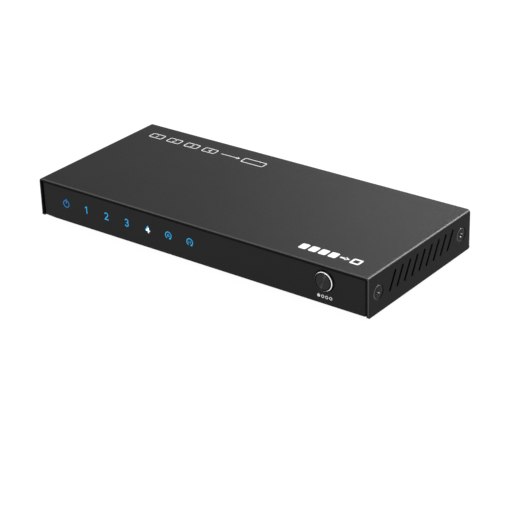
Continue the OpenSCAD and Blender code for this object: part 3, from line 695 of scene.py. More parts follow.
def scratch_result(thing: Object) -> BMesh:
    """Takes the finished mesh of a scratch object, and removes the object.

    Args:
        thing: The object, with its modifiers.

    Returns:
        Its mesh with the modifiers applied.
    """
    result = bmesh.new()
    result.from_object(thing, bpy.context.evaluated_depsgraph_get())
    data = thing.data
    bpy.data.objects.remove(thing)
    bpy.data.meshes.remove(data)
    return result


def carved(body: BMesh, cutter: BMesh) -> BMesh:
    """Takes one mesh's volume out of another.

    Args:
        body: The mesh to cut, which is freed.
        cutter: The volume to take out, which is freed.

    Returns:
        What is left of the body.
    """
    target = scratch_object(body)
    tool = scratch_object(cutter)
    cut = target.modifiers.new("cut", "BOOLEAN")
    cut.operation = "DIFFERENCE"
    cut.solver = "EXACT"
    cut.use_self = True
    cut.object = tool
    result = scratch_result(target)
    scratch_result(tool).free()
    return result


def block(size: Sequence[float], centre: Sequence[float]) -> BMesh:
    """A block of a size round a centre.

    Args:
        size: Length along each axis.
        centre: Its middle.

    Returns:
        The block's mesh.
    """
    mesh = bmesh.new()
    bmesh.ops.create_cube(mesh, size=1.0)
    bmesh.ops.scale(mesh, vec=size, verts=mesh.verts)
    bmesh.ops.translate(mesh, vec=centre, verts=mesh.verts)
    return mesh


def round_corners(shape: BMesh, radius: float, segments: int) -> None:
    """Rounds the corners of a flat shape.

    Args:
        shape: The shape.
        radius: How far the rounding reaches from each corner.
        segments: Number of edges in it.
    """
    bmesh.ops.bevel(
        shape, geom=shape.verts[:], offset=radius, offset_type="OFFSET", segments=segments, profile=0.5,
        affect="VERTICES", clamp_overlap=True, material=-1,
    )


def inset(mesh: BMesh, faces: Sequence[BMFace], width: float) -> list[BMFace]:
    """Insets flat faces, or frames them where the width is negative.

    Args:
        mesh: The mesh.
        faces: The faces, which stay inside the strip.
        width: Width of the strip.

    Returns:
        The faces of the strip.
    """
    strip = bmesh.ops.inset_region(
        mesh, faces=faces, thickness=width, use_boundary=True, use_even_offset=True
    )
    return strip["faces"]


def flat_plate(size: Point, corner: float, segments: int) -> BMesh:
    """A flat rectangle round the origin, with round corners.

    Args:
        size: Its width and height.
        corner: Radius of its corners.
        segments: Number of edges in each corner.

    Returns:
        The rectangle.
    """
    plate = bmesh.new()
    bmesh.ops.create_grid(plate, x_segments=1, y_segments=1, size=0.5)
    bmesh.ops.scale(plate, vec=(*size, 1.0), verts=plate.verts)
    round_corners(plate, corner, segments)
    return plate


def place(
    name: str, mesh: BMesh, finishes: Sequence[Finish], body: Body = Body.CASE, stands_for: Sequence[str] = ()
) -> None:
    """Makes a mesh a finished piece of the part.

    Args:
        name: Name of the piece.
        mesh: Its mesh at its place, which is freed.
        finishes: Its finishes, in the order of the mesh's material numbers.
        body: The body it rides on.
        stands_for: CAD nodes that it is shown instead of.
    """
    data = as_data(name, mesh)
    if "custom_normal" in data.attributes:
        data.attributes.remove(data.attributes["custom_normal"])
    for finish in finishes:
        data.materials.append(finish.material())
    data.shade_smooth()
    data.set_sharp_from_angle(angle=CREASE_TURN)
    piece = linked(name, data)
    evener = piece.modifiers.new("even_shading", "WEIGHTED_NORMAL")
    evener.keep_sharp = True
    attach(piece, body.value)
    if stands_for:
        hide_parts(*stands_for)
    log.info("%s: %d faces on %s", name, len(data.polygons), body.value)


def dress(node: str, finish: Finish) -> None:
    """Gives a CAD node that stays shown its finish.

    Args:
        node: Name of the node.
        finish: The finish.
    """
    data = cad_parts[node].data
    data.materials.clear()
    data.materials.append(finish.material())
    log.info("%s: dressed in %s", node, finish.name)


@dataclass
class FlatSign:
    """A sign drawn flat, with X to its right and Y up, and then laid on a side of the case."""

    corner_steps: int = 6
    end_steps: int = 5
    end_share: float = 0.49
    ring_steps: int = 48
    least_steps: int = 12
    dot_steps: int = 32
    curve_steps: int = 8
    sunk_share: float = 0.25
    mesh: BMesh = field(default_factory=bmesh.new)

    def add(self, shape: BMesh, at: Point, turn: float = 0.0) -> None:
        """Adds a flat shape.

        Args:
            shape: The shape round its own origin, which is freed.
            at: Where its origin goes.
            turn: Turn to the left, in radians.
        """
        bmesh.ops.rotate(shape, cent=(0, 0, 0), matrix=Matrix.Rotation(turn, 3, "Z"), verts=shape.verts)
        bmesh.ops.translate(shape, vec=(*at, 0.0), verts=shape.verts)
        self.mesh = joined((self.mesh, shape))

    def tile(self, at: Point, size: Point, corner: float, stroke: float = 0.0) -> None:
        """Adds a rounded rectangle, filled or as an outline.

        Args:
            at: Its middle.
            size: Its width and height.
            corner: Radius of its corners.
            stroke: Width of the outline, or 0 for a filled one.
        """
        shape = flat_plate(size, corner, self.corner_steps)
        if stroke:
            inner = shape.faces[:]
            inset(shape, inner, stroke)
            bmesh.ops.delete(shape, geom=inner, context="FACES")
        self.add(shape, at)

    def bar(self, start: Point, end: Point, stroke: float) -> None:
        """Adds a straight stroke with round ends.

        Args:
            start: Middle of its first end.
            end: Middle of its other end.
            stroke: Its width.
        """
        run = Vector(end) - Vector(start)
        shape = flat_plate((run.length + stroke, stroke), self.end_share * stroke, self.end_steps)
        centre = (Vector(start) + Vector(end)) / 2
        self.add(shape, tuple(centre), math.atan2(run.y, run.x))

    def arc(self, at: Point, radius: float, stroke: float, start: float, sweep: float) -> None:
        """Adds part of a ring.

        Args:
            at: Its middle.
            radius: Radius at the middle of the stroke.
            stroke: Width of the stroke.
            start: Where it starts, in radians to the left of the X axis.
            sweep: How far it goes round to the left, in radians.
        """
        shape = bmesh.new()
        ends = [shape.verts.new((radius + side * stroke / 2, 0.0, 0.0)) for side in (-1, 1)]
        edge = shape.edges.new(ends)
        steps = max(self.least_steps, round(self.ring_steps * abs(sweep) / math.tau))
        bmesh.ops.spin(
            shape, geom=[*ends, edge], axis=(0, 0, 1), cent=(0, 0, 0), angle=sweep, steps=steps,
            use_merge=abs(sweep) >= math.tau,
        )
        bmesh.ops.remove_doubles(shape, verts=shape.verts, dist=MERGE)
        self.add(shape, at, start)

    def head(self, at: Point, length: float, turn: float) -> None:
        """Adds a solid triangle that points along its turn.

        Args:
            at: Its middle.
            length: Its radius from the middle to its tip.
            turn: Where it points, in radians to the left of the X axis.
        """
        shape = bmesh.new()
        bmesh.ops.create_circle(shape, cap_ends=True, segments=3, radius=length)
        tip = max(shape.verts, key=lambda vert: vert.co.y)
        self.add(shape, at, turn - math.atan2(tip.co.y, tip.co.x))

    def disc(self, at: Point, radius: float) -> None:
        """Adds a filled dot.

        Args:
            at: Its middle.
            radius: Its radius.
        """
        shape = bmesh.new()
        bmesh.ops.create_circle(shape, cap_ends=True, segments=self.dot_steps, radius=radius)
        self.add(shape, at)

    def numeral(self, number: int, at: Point, height: float, thinning: float) -> None:
        """Adds a number in a plain face.

        Args:
            number: The number.
            at: Its middle.
            height: Height of its figures.
            thinning: How much thinner its strokes are than the face's own.
        """
        text = bpy.data.curves.new("numeral", "FONT")
        text.body = str(number)
        text.resolution_u = self.curve_steps
        text.offset = -thinning / height
        thing = bpy.data.objects.new("numeral", text)
        outline = bpy.data.meshes.new_from_object(thing)
        shape = bmesh.new()
        shape.from_mesh(outline)
        bpy.data.objects.remove(thing)
        bpy.data.curves.remove(text)
        bpy.data.meshes.remove(outline)
        xs = [vert.co.x for vert in shape.verts]
        ys = [vert.co.y for vert in shape.verts]
        centre = Vector(((min(xs) + max(xs)) / 2, (min(ys) + max(ys)) / 2, 0.0))
        size = height / (max(ys) - min(ys))
        bmesh.ops.translate(shape, vec=-centre, verts=shape.verts)
        bmesh.ops.scale(shape, vec=(size, size, 1.0), verts=shape.verts)
        self.add(shape, at)

    def laid(self, facing: Facing, at: Vector, ink: float) -> BMesh:
        """Gives the sign its thickness and lays it on the case.

        Args:
            facing: The side of the case.
            at: Where the sign's origin goes on that side's face.
            ink: Thickness of the ink, a share of which sinks into the face.

        Returns:
            The sign's mesh at its place.
        """
        mesh = self.mesh
        bmesh.ops.remove_doubles(mesh, verts=mesh.verts, dist=MERGE)
        bmesh.ops.recalc_face_normals(mesh, faces=mesh.faces)
        if sum(face.normal.z for face in mesh.faces) < 0:
            bmesh.ops.reverse_faces(mesh, faces=mesh.faces)
        raised = bmesh.ops.extrude_face_region(mesh, geom=mesh.faces[:])
        lifted = [item for item in raised["geom"] if isinstance(item, BMVert)]
        bmesh.ops.translate(mesh, vec=(0, 0, ink), verts=lifted)
        bmesh.ops.translate(mesh, vec=(0, 0, -self.sunk_share * ink), verts=mesh.verts)
        bmesh.ops.recalc_face_normals(mesh, faces=mesh.faces)
        bmesh.ops.transform(mesh, matrix=Matrix.Translation(at) @ facing.value, verts=mesh.verts)
        return mesh


@dataclass(frozen=True)
class FlowSign:
    """A row of tiles, one for each input, from which an arrow leads to a wider tile."""

    left: float
    tile: Point
    pitch: float
    corner: float
    stroke: float
    shaft: Span
    tip_at: float
    tip_r: float
    goal_at: float
    goal_w: float
    figure_h: float = 0.0
    figure_thinning: float = 0.012 * MM

    def drawn(self) -> FlatSign:
        """Draws the sign: numbered outlines where figures have a height, and else filled tiles.

        Returns:
            The flat sign.
        """
        sign = FlatSign()
        width, height = self.tile
        for i in range(INPUTS):
            at = (self.left + width / 2 + i * self.pitch, 0.0)
            if self.figure_h:
                sign.tile(at, self.tile, self.corner, self.stroke)
                sign.numeral(i + 1, at, self.figure_h, self.figure_thinning)
            else:
                sign.tile(at, self.tile, self.corner)
        arrow = self.left + INPUTS * self.pitch
        start, end = self.shaft
        sign.bar((arrow + start, 0.0), (arrow + end, 0.0), self.stroke)
        sign.head((arrow + self.tip_at, 0.0), self.tip_r, 0.0)
        sign.tile((arrow + self.goal_at, 0.0), (self.goal_w, height), self.corner, self.stroke)
        return sign


# Bold sign near the front right corner of the top
EMBLEM = FlowSign(
    left=-13.4 * MM, tile=(3.4 * MM, 4.1 * MM), pitch=4.4 * MM, corner=0.7 * MM, stroke=0.95 * MM,
    shaft=(0.5 * MM, 2.6 * MM), tip_at=3.0 * MM, tip_r=1.35 * MM, goal_at=7.2 * MM, goal_w=4.2 * MM,
)
# Fine sign along the rear left of the top
LEGEND = FlowSign(
    left=-30.2 * MM, tile=(6.8 * MM, 4.1 * MM), pitch=9.5 * MM, corner=0.8 * MM, stroke=0.38 * MM,
    shaft=(0.0, 8.4 * MM), tip_at=8.6 * MM, tip_r=1.05 * MM, goal_at=16.8 * MM, goal_w=11.2 * MM,
    figure_h=2.3 * MM,
)


@dataclass
class Cover:
    """Folded steel cover: its sheet, its four countersunk screws and the prints on its top."""

    rim_edge: float = 0.34 * MM
    # Tilts of the fold facets that take the painted fold highlight
    ridge: Span = (math.radians(18), math.radians(64))
    edge: float = 0.08 * MM
    cut_area: float = 1000 * MM * MM
    head_r: float = 2.8 * MM
    shank_r: float = 1.5 * MM
    head_land: float = 0.3 * MM
    head_crown: float = 0.06 * MM
    head_edge: float = 0.26 * MM
    recess_l: float = 3.3 * MM
    recess_w: float = 0.75 * MM
    recess_depth: float = 1.1 * MM
    recess_taper: Point = (0.45, 0.8)
    recess_turn: float = 0.5
    recess_swing: float = 0.4
    cup_r: float = 1.0 * MM
    cup_floor_r: float = 0.5 * MM
    cup_depth: float = 0.8 * MM
    head_steps: int = 48
    cup_steps: int = 24
    ink: float = 0.03 * MM
    emblem_at: Point = (57.6 * MM, -26.35 * MM)
    legend_at: Point = (-41.25 * MM, 25.3 * MM)

    def build(self) -> None:
        """Builds and dresses the cover."""
        place("cover_sheet", self.sheet(), (COAT, FOLD_HIGHLIGHT_COAT, RIM_HIGHLIGHT_COAT, CUT_SHADE_COAT), stands_for=("top_cover",))
        finishes = (SCREW_BLACK, RUBBED_RIM, WORN_STEEL)
        place("cover_screw_set", self.screws(), finishes, stands_for=("cover_screws",))
        self.print_on_top("cover_emblem", EMBLEM, self.emblem_at)
        self.print_on_top("cover_legend", LEGEND, self.legend_at)

    def sheet(self) -> BMesh:
        """The folded sheet, with broad roundings on its outer rims and fine ones elsewhere.

        Returns:
            The sheet, with the painted highlight on its fold ridges and outer rims and the painted shade on
            its cuts.
        """
        low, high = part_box("top_cover")
        centre = middle("top_cover")
        sheet = merged_copy("top_cover")

        def outer_rim(edge: BMEdge) -> bool:
            """Tells whether an edge is at a rim of the sheet and on its outer side.

            Args:
                edge: An edge of the sheet.

            Returns:
                True for an outer rim.
            """
            ends = {round(vert.co.y / MERGE) for vert in edge.verts}
            if not ends <= {round(low.y / MERGE), round(high.y / MERGE)}:
                return False
            out = edge.verts[0].co - centre
            return all(face.normal.x * out.x + face.normal.z * out.z > -MERGE for face in edge.link_faces)

        for face in sheet.faces:
            face.material_index = self.face_kind(face)
        # The outer rims' rounding takes the coat of the painted rim highlight
        soften(sheet, self.rim_edge, segments=4, number=SheetFace.ROUNDED, chosen=outer_rim)
        # Cut faces and the roundings at them take the darker coat of the painted shade
        cuts = [face for face in sheet.faces if face.material_index == SheetFace.CUT]

        def at_cut(edge: BMEdge) -> bool:
            """Tells whether an edge is at a cut face."""
            return any(face in cuts for face in edge.link_faces)

        soften(sheet, self.edge, number=SheetFace.CUT, chosen=at_cut)
        soften(sheet, self.edge)
        keep_inside(sheet, "top_cover")
        return sheet

    def face_kind(self, face: BMFace) -> SheetFace:
        """Sorts the sheet's faces into cuts, which take the painted shade, the ridges of the folds, which
        take the painted highlight, and the rest.

        Args:
            face: A face of the sheet.

        Returns:
            Its kind.
        """
        normal = face.normal
        end = abs(normal.y) > LEANING and abs(normal.x) < LEANING
        foot = normal.z < -NEARLY_ALL and face.calc_area() < self.cut_area
        if end or foot:
            return SheetFace.CUT
        tilt = math.atan2(abs(normal.x), normal.z)
        if abs(normal.y) < SLIGHT and self.ridge[0] < tilt < self.ridge[1]:
            return SheetFace.FOLD
        return SheetFace.PLAIN

    def screw(self) -> BMesh:
        """One screw along Z, with its crown at zero.

        Returns:
            The screw with its cross recess.
        """
        length = self.tip_depth()
        rim = -self.head_crown
        cone = self.head_r - self.shank_r
        # The crown is a flat dome, which has dropped by a quarter of its height at half its radius
        screw = turned((
            (0.0, 0.0),
            (0.5 * self.head_r, 0.25 * rim),
            (self.head_r, rim),
            (self.head_r, rim - self.head_land),
            (self.shank_r, rim - self.head_land - cone),
            (self.shank_r, -length),
            (0.0, -length),
        ), self.head_steps)
        soften(screw, self.head_edge, segments=3, number=ScrewFace.RIM)
        arms = [self.recess_arm(quarter) for quarter in range(2)]
        cup = turned((
            (0.0, self.cup_depth),
            (self.cup_r, self.cup_depth),
            (self.cup_r, 0.0),
            (self.cup_floor_r, -self.cup_depth),
            (0.0, -self.cup_depth),
        ), self.cup_steps)
        screw = carved(carved(screw, joined(arms)), cup)
        for face in screw.faces:
            centre = face.calc_center_median()
            if math.hypot(centre.x, centre.y) < self.cup_r and centre.z < rim:
                face.material_index = ScrewFace.WORN
        return screw

    def tip_depth(self) -> float:
        """Length of a screw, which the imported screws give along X."""
        inner = min(abs(vert.co.x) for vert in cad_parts["cover_screws"].data.vertices)
        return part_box("cover_screws")[1].x - inner

    def recess_arm(self, quarter: int) -> BMesh:
        """One bar of the cross recess, narrower at its floor.

        Args:
            quarter: Number of quarter turns.

        Returns:
            The bar.
        """
        depth = self.recess_depth
        arm = block((self.recess_l, self.recess_w, 2 * depth), (0, 0, 0))
        floor = [vert for vert in arm.verts if vert.co.z < 0]
        bmesh.ops.scale(arm, vec=(*self.recess_taper, 1.0), verts=floor)
        turn = Matrix.Rotation(quarter * math.pi / 2, 3, "Z")
        bmesh.ops.rotate(arm, cent=(0, 0, 0), matrix=turn, verts=arm.verts)
        return arm

    def screws(self) -> BMesh:
        """All four screws at their places.

        Returns:
            The screws as one mesh.
        """
        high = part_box("cover_screws")[1]
        centre = middle("cover_screws")
        set_of_four = []
        for side in (-1, 1):
            for end in (-1, 1):
                screw = self.screw()
                at = Vector((side * high.x, end * (high.y - self.head_r), centre.z))
                recess = Matrix.Rotation(self.recess_swing * end + self.recess_turn, 4, "Z")
                turn = Matrix.Rotation(side * math.pi / 2, 4, "Y") @ recess
                bmesh.ops.transform(screw, matrix=Matrix.Translation(at) @ turn, verts=screw.verts)
                set_of_four.append(screw)
        return joined(set_of_four)

    def print_on_top(self, name: str, sign: FlowSign, at: Point) -> None:
        """Prints a sign at a place on the top of the cover."""
        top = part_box("top_cover")[1].z
        place(name, sign.drawn().laid(Facing.TOP, Vector((*at, top)), self.ink), (COVER_PRINT,))


@dataclass
class Tray:
    """Folded steel tray under the cover, on its four rubber feet."""

    edge: float = 0.12 * MM
    foot_edge: float = 0.5 * MM
    foot_steps: int = 6
    feet: tuple[str, ...] = ("foot_front_left", "foot_front_right", "foot_rear_left", "foot_rear_right")

    def build(self) -> None:
        """Builds and dresses the tray and its feet."""
        sheet = merged_copy("base_tray")
        soften(sheet, self.edge)
        keep_inside(sheet, "base_tray")
        place("tray_sheet", sheet, (TRAY_COAT,), stands_for=("base_tray",))
        for node in self.feet:
            place(node + "_pad", self.foot(node), (RUBBER,), stands_for=(node,))

    def foot(self, node: str) -> BMesh:
        """One foot, rounded at its lower edge.

        Args:
            node: The CAD node that it stands for.

        Returns:
            The foot at its place.
        """
        low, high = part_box(node)
        radius = (high.x - low.x) / 2
        height = high.z - low.z
        arc = [math.radians(90 * step / self.foot_steps) for step in range(self.foot_steps + 1)]
        rim = radius - self.foot_edge
        lower_edge = [
            (rim + self.foot_edge * math.sin(turn), self.foot_edge * (1 - math.cos(turn))) for turn in arc
        ]
        foot = turned([(0.0, 0.0), *lower_edge, (radius, height), (0.0, height)])
        centre = middle(node)
        bmesh.ops.translate(foot, vec=(centre.x, centre.y, low.z), verts=foot.verts)
        return foot


@dataclass(frozen=True)
class LitSigns:
    """The figures and signs that are lit on the front, each round its own middle."""

    figure_stroke: float = 0.38 * MM
    stroke: float = 0.33 * MM
    ring_stroke: float = 0.28 * MM
    fine_stroke: float = 0.2 * MM
    figure_half: float = 1.4 * MM
    one_x: Span = (-0.5 * MM, 0.22 * MM)
    one_flag: float = 0.85 * MM
    two_x: Span = (-0.8 * MM, 0.92 * MM)
    two_bowl: float = 0.66 * MM
    two_bowl_r: float = 0.78 * MM
    two_start: float = math.radians(-38)
    two_sweep: float = math.radians(205)
    three_x: float = -0.05 * MM
    three_heights: Span = (0.72 * MM, -0.68 * MM)
    three_radii: Span = (0.74 * MM, 0.82 * MM)
    three_starts: Span = (math.radians(-100), math.radians(-158))
    three_sweeps: Span = (math.radians(264), math.radians(253))
    four_stem: float = 0.3 * MM
    four_reach: float = 0.85 * MM
    four_arm: float = -0.52 * MM
    four_foot: float = -1.35 * MM
    four_eye: float = 0.05 * MM
    four_fill: float = 0.5 * MM
    four_slope: float = math.radians(60)
    fringe: Point = (-0.08 * MM, 0.06 * MM)
    fringe_tip: float = 1.25 * MM
    core: Point = (0.25 * MM, -0.06 * MM)
    core_tip: float = 0.62 * MM
    ring_r: float = 1.42 * MM
    loop_at: Point = (-0.1 * MM, 0.15 * MM)
    loop_start: float = math.radians(-58)
    loop_sweep: float = math.radians(300)
    loop_head: float = 0.56 * MM
    power_at: Point = (-0.2 * MM, -0.02 * MM)
    power_r: float = 1.48 * MM
    power_gap: float = math.radians(14)
    stem_x: float = -0.12 * MM
    stem_z: Span = (0.3 * MM, 1.92 * MM)
    auto_at: Point = (-0.15 * MM, 0.1 * MM)
    auto_r: float = 0.62 * MM
    auto_turns: tuple[float, ...] = (math.radians(90), math.radians(210), math.radians(330))
    mode_x: Span = (-0.52 * MM, 0.32 * MM)
    mode_z: Span = (-0.35 * MM, 0.5 * MM)

    def figure_one(self) -> FlatSign:
        """A one: an upright stroke with a flag.

        Returns:
            The figure.
        """
        sign = FlatSign()
        flag, stem = self.one_x
        top = (stem, self.figure_half)
        sign.bar((stem, -self.figure_half), top, self.figure_stroke)
        sign.bar((flag, self.one_flag), top, self.figure_stroke)
        return sign

    def figure_two(self) -> FlatSign:
        """A two: a bowl, a slanted stroke and a foot.

        Returns:
            The figure.
        """
        sign = FlatSign()
        radius, start = self.two_bowl_r, self.two_start
        sign.arc((0.0, self.two_bowl), radius, self.figure_stroke, start, self.two_sweep)
        joint = (radius * math.cos(start), self.two_bowl + radius * math.sin(start))
        heel, toe = ((across, -self.figure_half) for across in self.two_x)
        sign.bar(joint, heel, self.figure_stroke)
        sign.bar(heel, toe, self.figure_stroke)
        return sign

    def figure_three(self) -> FlatSign:
        """A three: two bowls, the lower one larger.

        Returns:
            The figure.
        """
        sign = FlatSign()
        bowls = zip(self.three_heights, self.three_radii, self.three_starts, self.three_sweeps)
        for height, radius, start, sweep in bowls:
            sign.arc((self.three_x, height), radius, self.figure_stroke, start, sweep)
        return sign

    def figure_four(self, shift: Point, tip: float) -> FlatSign:
        """A four with its eye closed up: a solid corner on an upright stroke.

        Args:
            shift: How far it is moved from the mark's place.
            tip: Height of its upper end.

        Returns:
            The figure.
        """
        sign = FlatSign()
        across, up = shift
        stem = self.four_stem + across
        top, foot = (stem, tip + up), (stem, self.four_foot + up)
        left, right = ((side * self.four_reach + across, self.four_arm + up) for side in (-1, 1))
        for start, end in ((left, top), (left, right), (foot, top)):
            sign.bar(start, end, self.figure_stroke)
        sign.head((self.four_eye + across, self.four_eye + up), self.four_fill, self.four_slope)
        return sign

    def power_sign(self) -> FlatSign:
        """Open ring with an upright stroke.

        Returns:
            The sign.
        """
        sign = FlatSign()
        start, sweep = math.pi / 2 + self.power_gap, math.tau - 2 * self.power_gap
        sign.arc(self.power_at, self.power_r, self.ring_stroke, start, sweep)
        low, high = self.stem_z
        sign.bar((self.stem_x, low), (self.stem_x, high), self.stroke)
        return sign

    def loop_sign(self, centre: Callable[[FlatSign], None]) -> FlatSign:
        """Ring that is open below and ends in an arrow head.

        Args:
            centre: Draws what is inside the ring.

        Returns:
            The sign.
        """
        sign = FlatSign()
        start = self.loop_start
        sign.arc(self.loop_at, self.ring_r, self.stroke, start, self.loop_sweep)
        tip = Vector(self.loop_at) + Vector((math.cos(start), math.sin(start))) * self.ring_r
        sign.head(tuple(tip), self.loop_head, start - math.pi / 2)
        centre(sign)
        return sign

    def auto_centre(self, sign: FlatSign) -> None:
        """A small triangle in the loop.

        Args:
            sign: The loop sign.
        """
        across, up = self.auto_at
        corners = [
            (across + self.auto_r * math.cos(turn), up + self.auto_r * math.sin(turn))
            for turn in self.auto_turns
        ]
        for start, end in zip(corners, corners[1:] + corners[:1]):
            sign.bar(start, end, self.fine_stroke)

    def mode_centre(self, sign: FlatSign) -> None:
        """Two short strokes in the loop.

        Args:
            sign: The loop sign.
        """
        low, high = self.mode_z
        for across in self.mode_x:
            sign.bar((across, low), (across, high), self.fine_stroke)


@dataclass
class Front:
    """Front overlay with its lit marks and the sign under the button."""

    edge: float = 0.4 * MM
    hole_edge: float = 0.08 * MM
    hole_reach: float = 6.5 * MM
    ink: float = 0.03 * MM
    pipe_r: float = 2.4 * MM
    dot_r: float = 0.65 * MM
    dot_stroke: float = 0.26 * MM
    dot_pitch: float = 1.78 * MM
    select_drop: float = 6.5 * MM
    signs: LitSigns = field(default_factory=LitSigns)

    def build(self) -> None:
        """Builds and dresses the overlay and its marks."""
        place("front_panel", self.panel(), (FILM, CUT_SHADE_COAT), stands_for=("front_overlay",))
        signs = self.signs
        self.mark("power", "led_power", signs.power_sign(), DEEP_BLUE)
        self.mark("input_1", "led_input_1", signs.figure_one(), SKY_BLUE)
        self.mark("input_2", "led_input_2", signs.figure_two(), SKY_BLUE)
        self.mark("input_3", "led_input_3", signs.figure_three(), SKY_BLUE)
        fringe = signs.figure_four(signs.fringe, signs.fringe_tip)
        self.mark("input_4_fringe", "led_input_4", fringe, PALE_BLUE)
        core = signs.figure_four(signs.core, signs.core_tip)
        self.mark("input_4", "led_input_4", core, LIT_WHITE, 2 * self.ink)
        self.mark("auto", "led_auto", signs.loop_sign(signs.auto_centre), SKY_BLUE)
        self.mark("mode", "led_mode", signs.loop_sign(signs.mode_centre), SKY_BLUE)
        self.select_sign()

    def panel(self) -> BMesh:
        """The overlay, with a slope along its top and sides in a dark coat that paints the shade under the
        cover's lip, and a fine rounding at the button.

        Returns:
            The overlay, with its slope in the painted shade on the second finish.
        """
        panel = merged_copy("front_overlay")
        low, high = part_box("front_overlay")
        button = middle("button_cap")

        def outline(edge: BMEdge) -> bool:
            """Tells whether an edge of the front face is at its top or at one of its sides."""
            at = edge_middle(edge)
            return at.y < low.y + MERGE and min(at.x - low.x, high.x - at.x, high.z - at.z) < self.edge

        def hole(edge: BMEdge) -> bool:
            """Tells whether an edge of the front face is at the button's hole."""
            at = edge_middle(edge)
            return at.y < low.y + MERGE and (at.xz - button.xz).length < self.hole_reach

        # The slope along the top and sides takes the coat of the painted shade under the cover's lip
        soften(panel, self.edge, segments=1, number=PanelFace.SLOPE, chosen=outline)
        soften(panel, self.hole_edge, number=PanelFace.FILM, chosen=hole)
        return panel

    def face_y(self) -> float:
        """Front face of the overlay."""
        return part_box("front_overlay")[0].y

    def mark(self, name: str, node: str, sign: FlatSign, finish: Finish, ink: float | None = None) -> None:
        """Lays a lit mark on the overlay in line with its indicator, in the common ink or a thicker one."""
        at = Vector((middle(node).x, self.face_y(), self.mark_z()))
        place("mark_" + name, sign.laid(Facing.FRONT, at, ink or self.ink), (finish,))

    def mark_z(self) -> float:
        """Height of the marks, at the middle of the light pipe's round ends."""
        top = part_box("light_pipe")[1].z
        return top - self.pipe_r

    def select_sign(self) -> None:
        """Row of four dots under the button, one of them filled."""
        sign = FlatSign()
        for i in range(INPUTS):
            at = ((i - (INPUTS - 1) / 2) * self.dot_pitch, 0.0)
            if i == 0:
                sign.disc(at, self.dot_r)
            else:
                sign.arc(at, self.dot_r - self.dot_stroke / 2, self.dot_stroke, 0.0, math.tau)
        button = middle("button_cap")
        at = Vector((button.x, self.face_y(), button.z - self.select_drop))
        place("select_dots", sign.laid(Facing.FRONT, at, self.ink), (PANEL_PRINT,))


@dataclass
class Button:
    """Spun metal cap of the select button."""

    chamfer: float = 0.28 * MM
    rim: float = 0.12 * MM
    groove_w: float = 0.36 * MM
    groove_depth: float = 0.22 * MM
    bore_r: float = 1.72 * MM
    bore_depth: float = 2.4 * MM
    dish: float = 0.05 * MM
    dish_mid: Point = (0.55, 0.7)
    edge: float = 0.025 * MM
    chamfer_tilt: Span = (0.6, 0.8)
    wall_tilt: float = 0.2
    steps: int = 128

    def build(self) -> None:
        """Builds and dresses the cap."""
        place("select_cap", self.cap(), (SPUN_FACE, BRIGHT_CUT, GROOVE_PAINTED_SHADE), Body.BUTTON, ("button_cap",))

    def cap(self) -> BMesh:
        """The cap at its place, with its chamfer on its own finish and its groove in a near-black finish that
        paints its shade.

        Returns:
            The cap with its polar map.
        """
        low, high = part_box("button_cap")
        radius = (high.x - low.x) / 2
        length = high.y - low.y
        rim_r = radius - self.chamfer
        groove_out = rim_r - self.rim
        face_r = groove_out - self.groove_w
        mid_r, mid_dish = self.dish_mid
        cap = turned((
            (0.0, -self.dish),
            (mid_r * face_r, -mid_dish * self.dish),
            (face_r, 0.0),
            (groove_out - self.groove_w / 2, -self.groove_depth),
            (groove_out, 0.0),
            (rim_r, 0.0),
            (radius, -self.chamfer),
            (radius, -length),
            (self.bore_r, -length),
            (self.bore_r, -length + self.bore_depth),
            (0.0, -length + self.bore_depth),
        ), self.steps)
        soften(cap, self.edge)
        self.map_polar(cap, radius)
        low_tilt, high_tilt = self.chamfer_tilt
        for face in cap.faces:
            centre = face.calc_center_median()
            reach = math.hypot(centre.x, centre.y)
            if reach > rim_r - self.edge and low_tilt < face.normal.z < high_tilt:
                face.material_index = CapFace.CHAMFER
            # Groove faces take the near-black finish of the painted shade
            elif face_r < reach < groove_out and face.normal.z > 0:
                face.material_index = CapFace.GROOVE
        at = middle("button_cap")
        at.y = low.y
        bmesh.ops.transform(cap, matrix=Matrix.Translation(at) @ Facing.FRONT.value, verts=cap.verts)
        return cap

    def map_polar(self, cap: BMesh, radius: float) -> None:
        """Maps the cap with U round its axis and V from the axis outwards.

        Args:
            cap: The cap round Z.
            radius: Its radius.
        """
        layer = cap.loops.layers.uv.new(POLAR_MAP)
        for face in cap.faces:
            centre = face.calc_center_median()
            home = math.atan2(centre.y, centre.x)
            for loop in face.loops:
                spot = loop.vert.co
                reach = math.hypot(spot.x, spot.y)
                swing = math.atan2(spot.y, spot.x) - home if reach > MERGE else 0.0
                swing = (swing + math.pi) % math.tau - math.pi
                depth = (spot.z / radius) if abs(face.normal.z) < self.wall_tilt else 0.0
                loop[layer].uv = ((home + swing) / math.tau, reach / radius - depth)


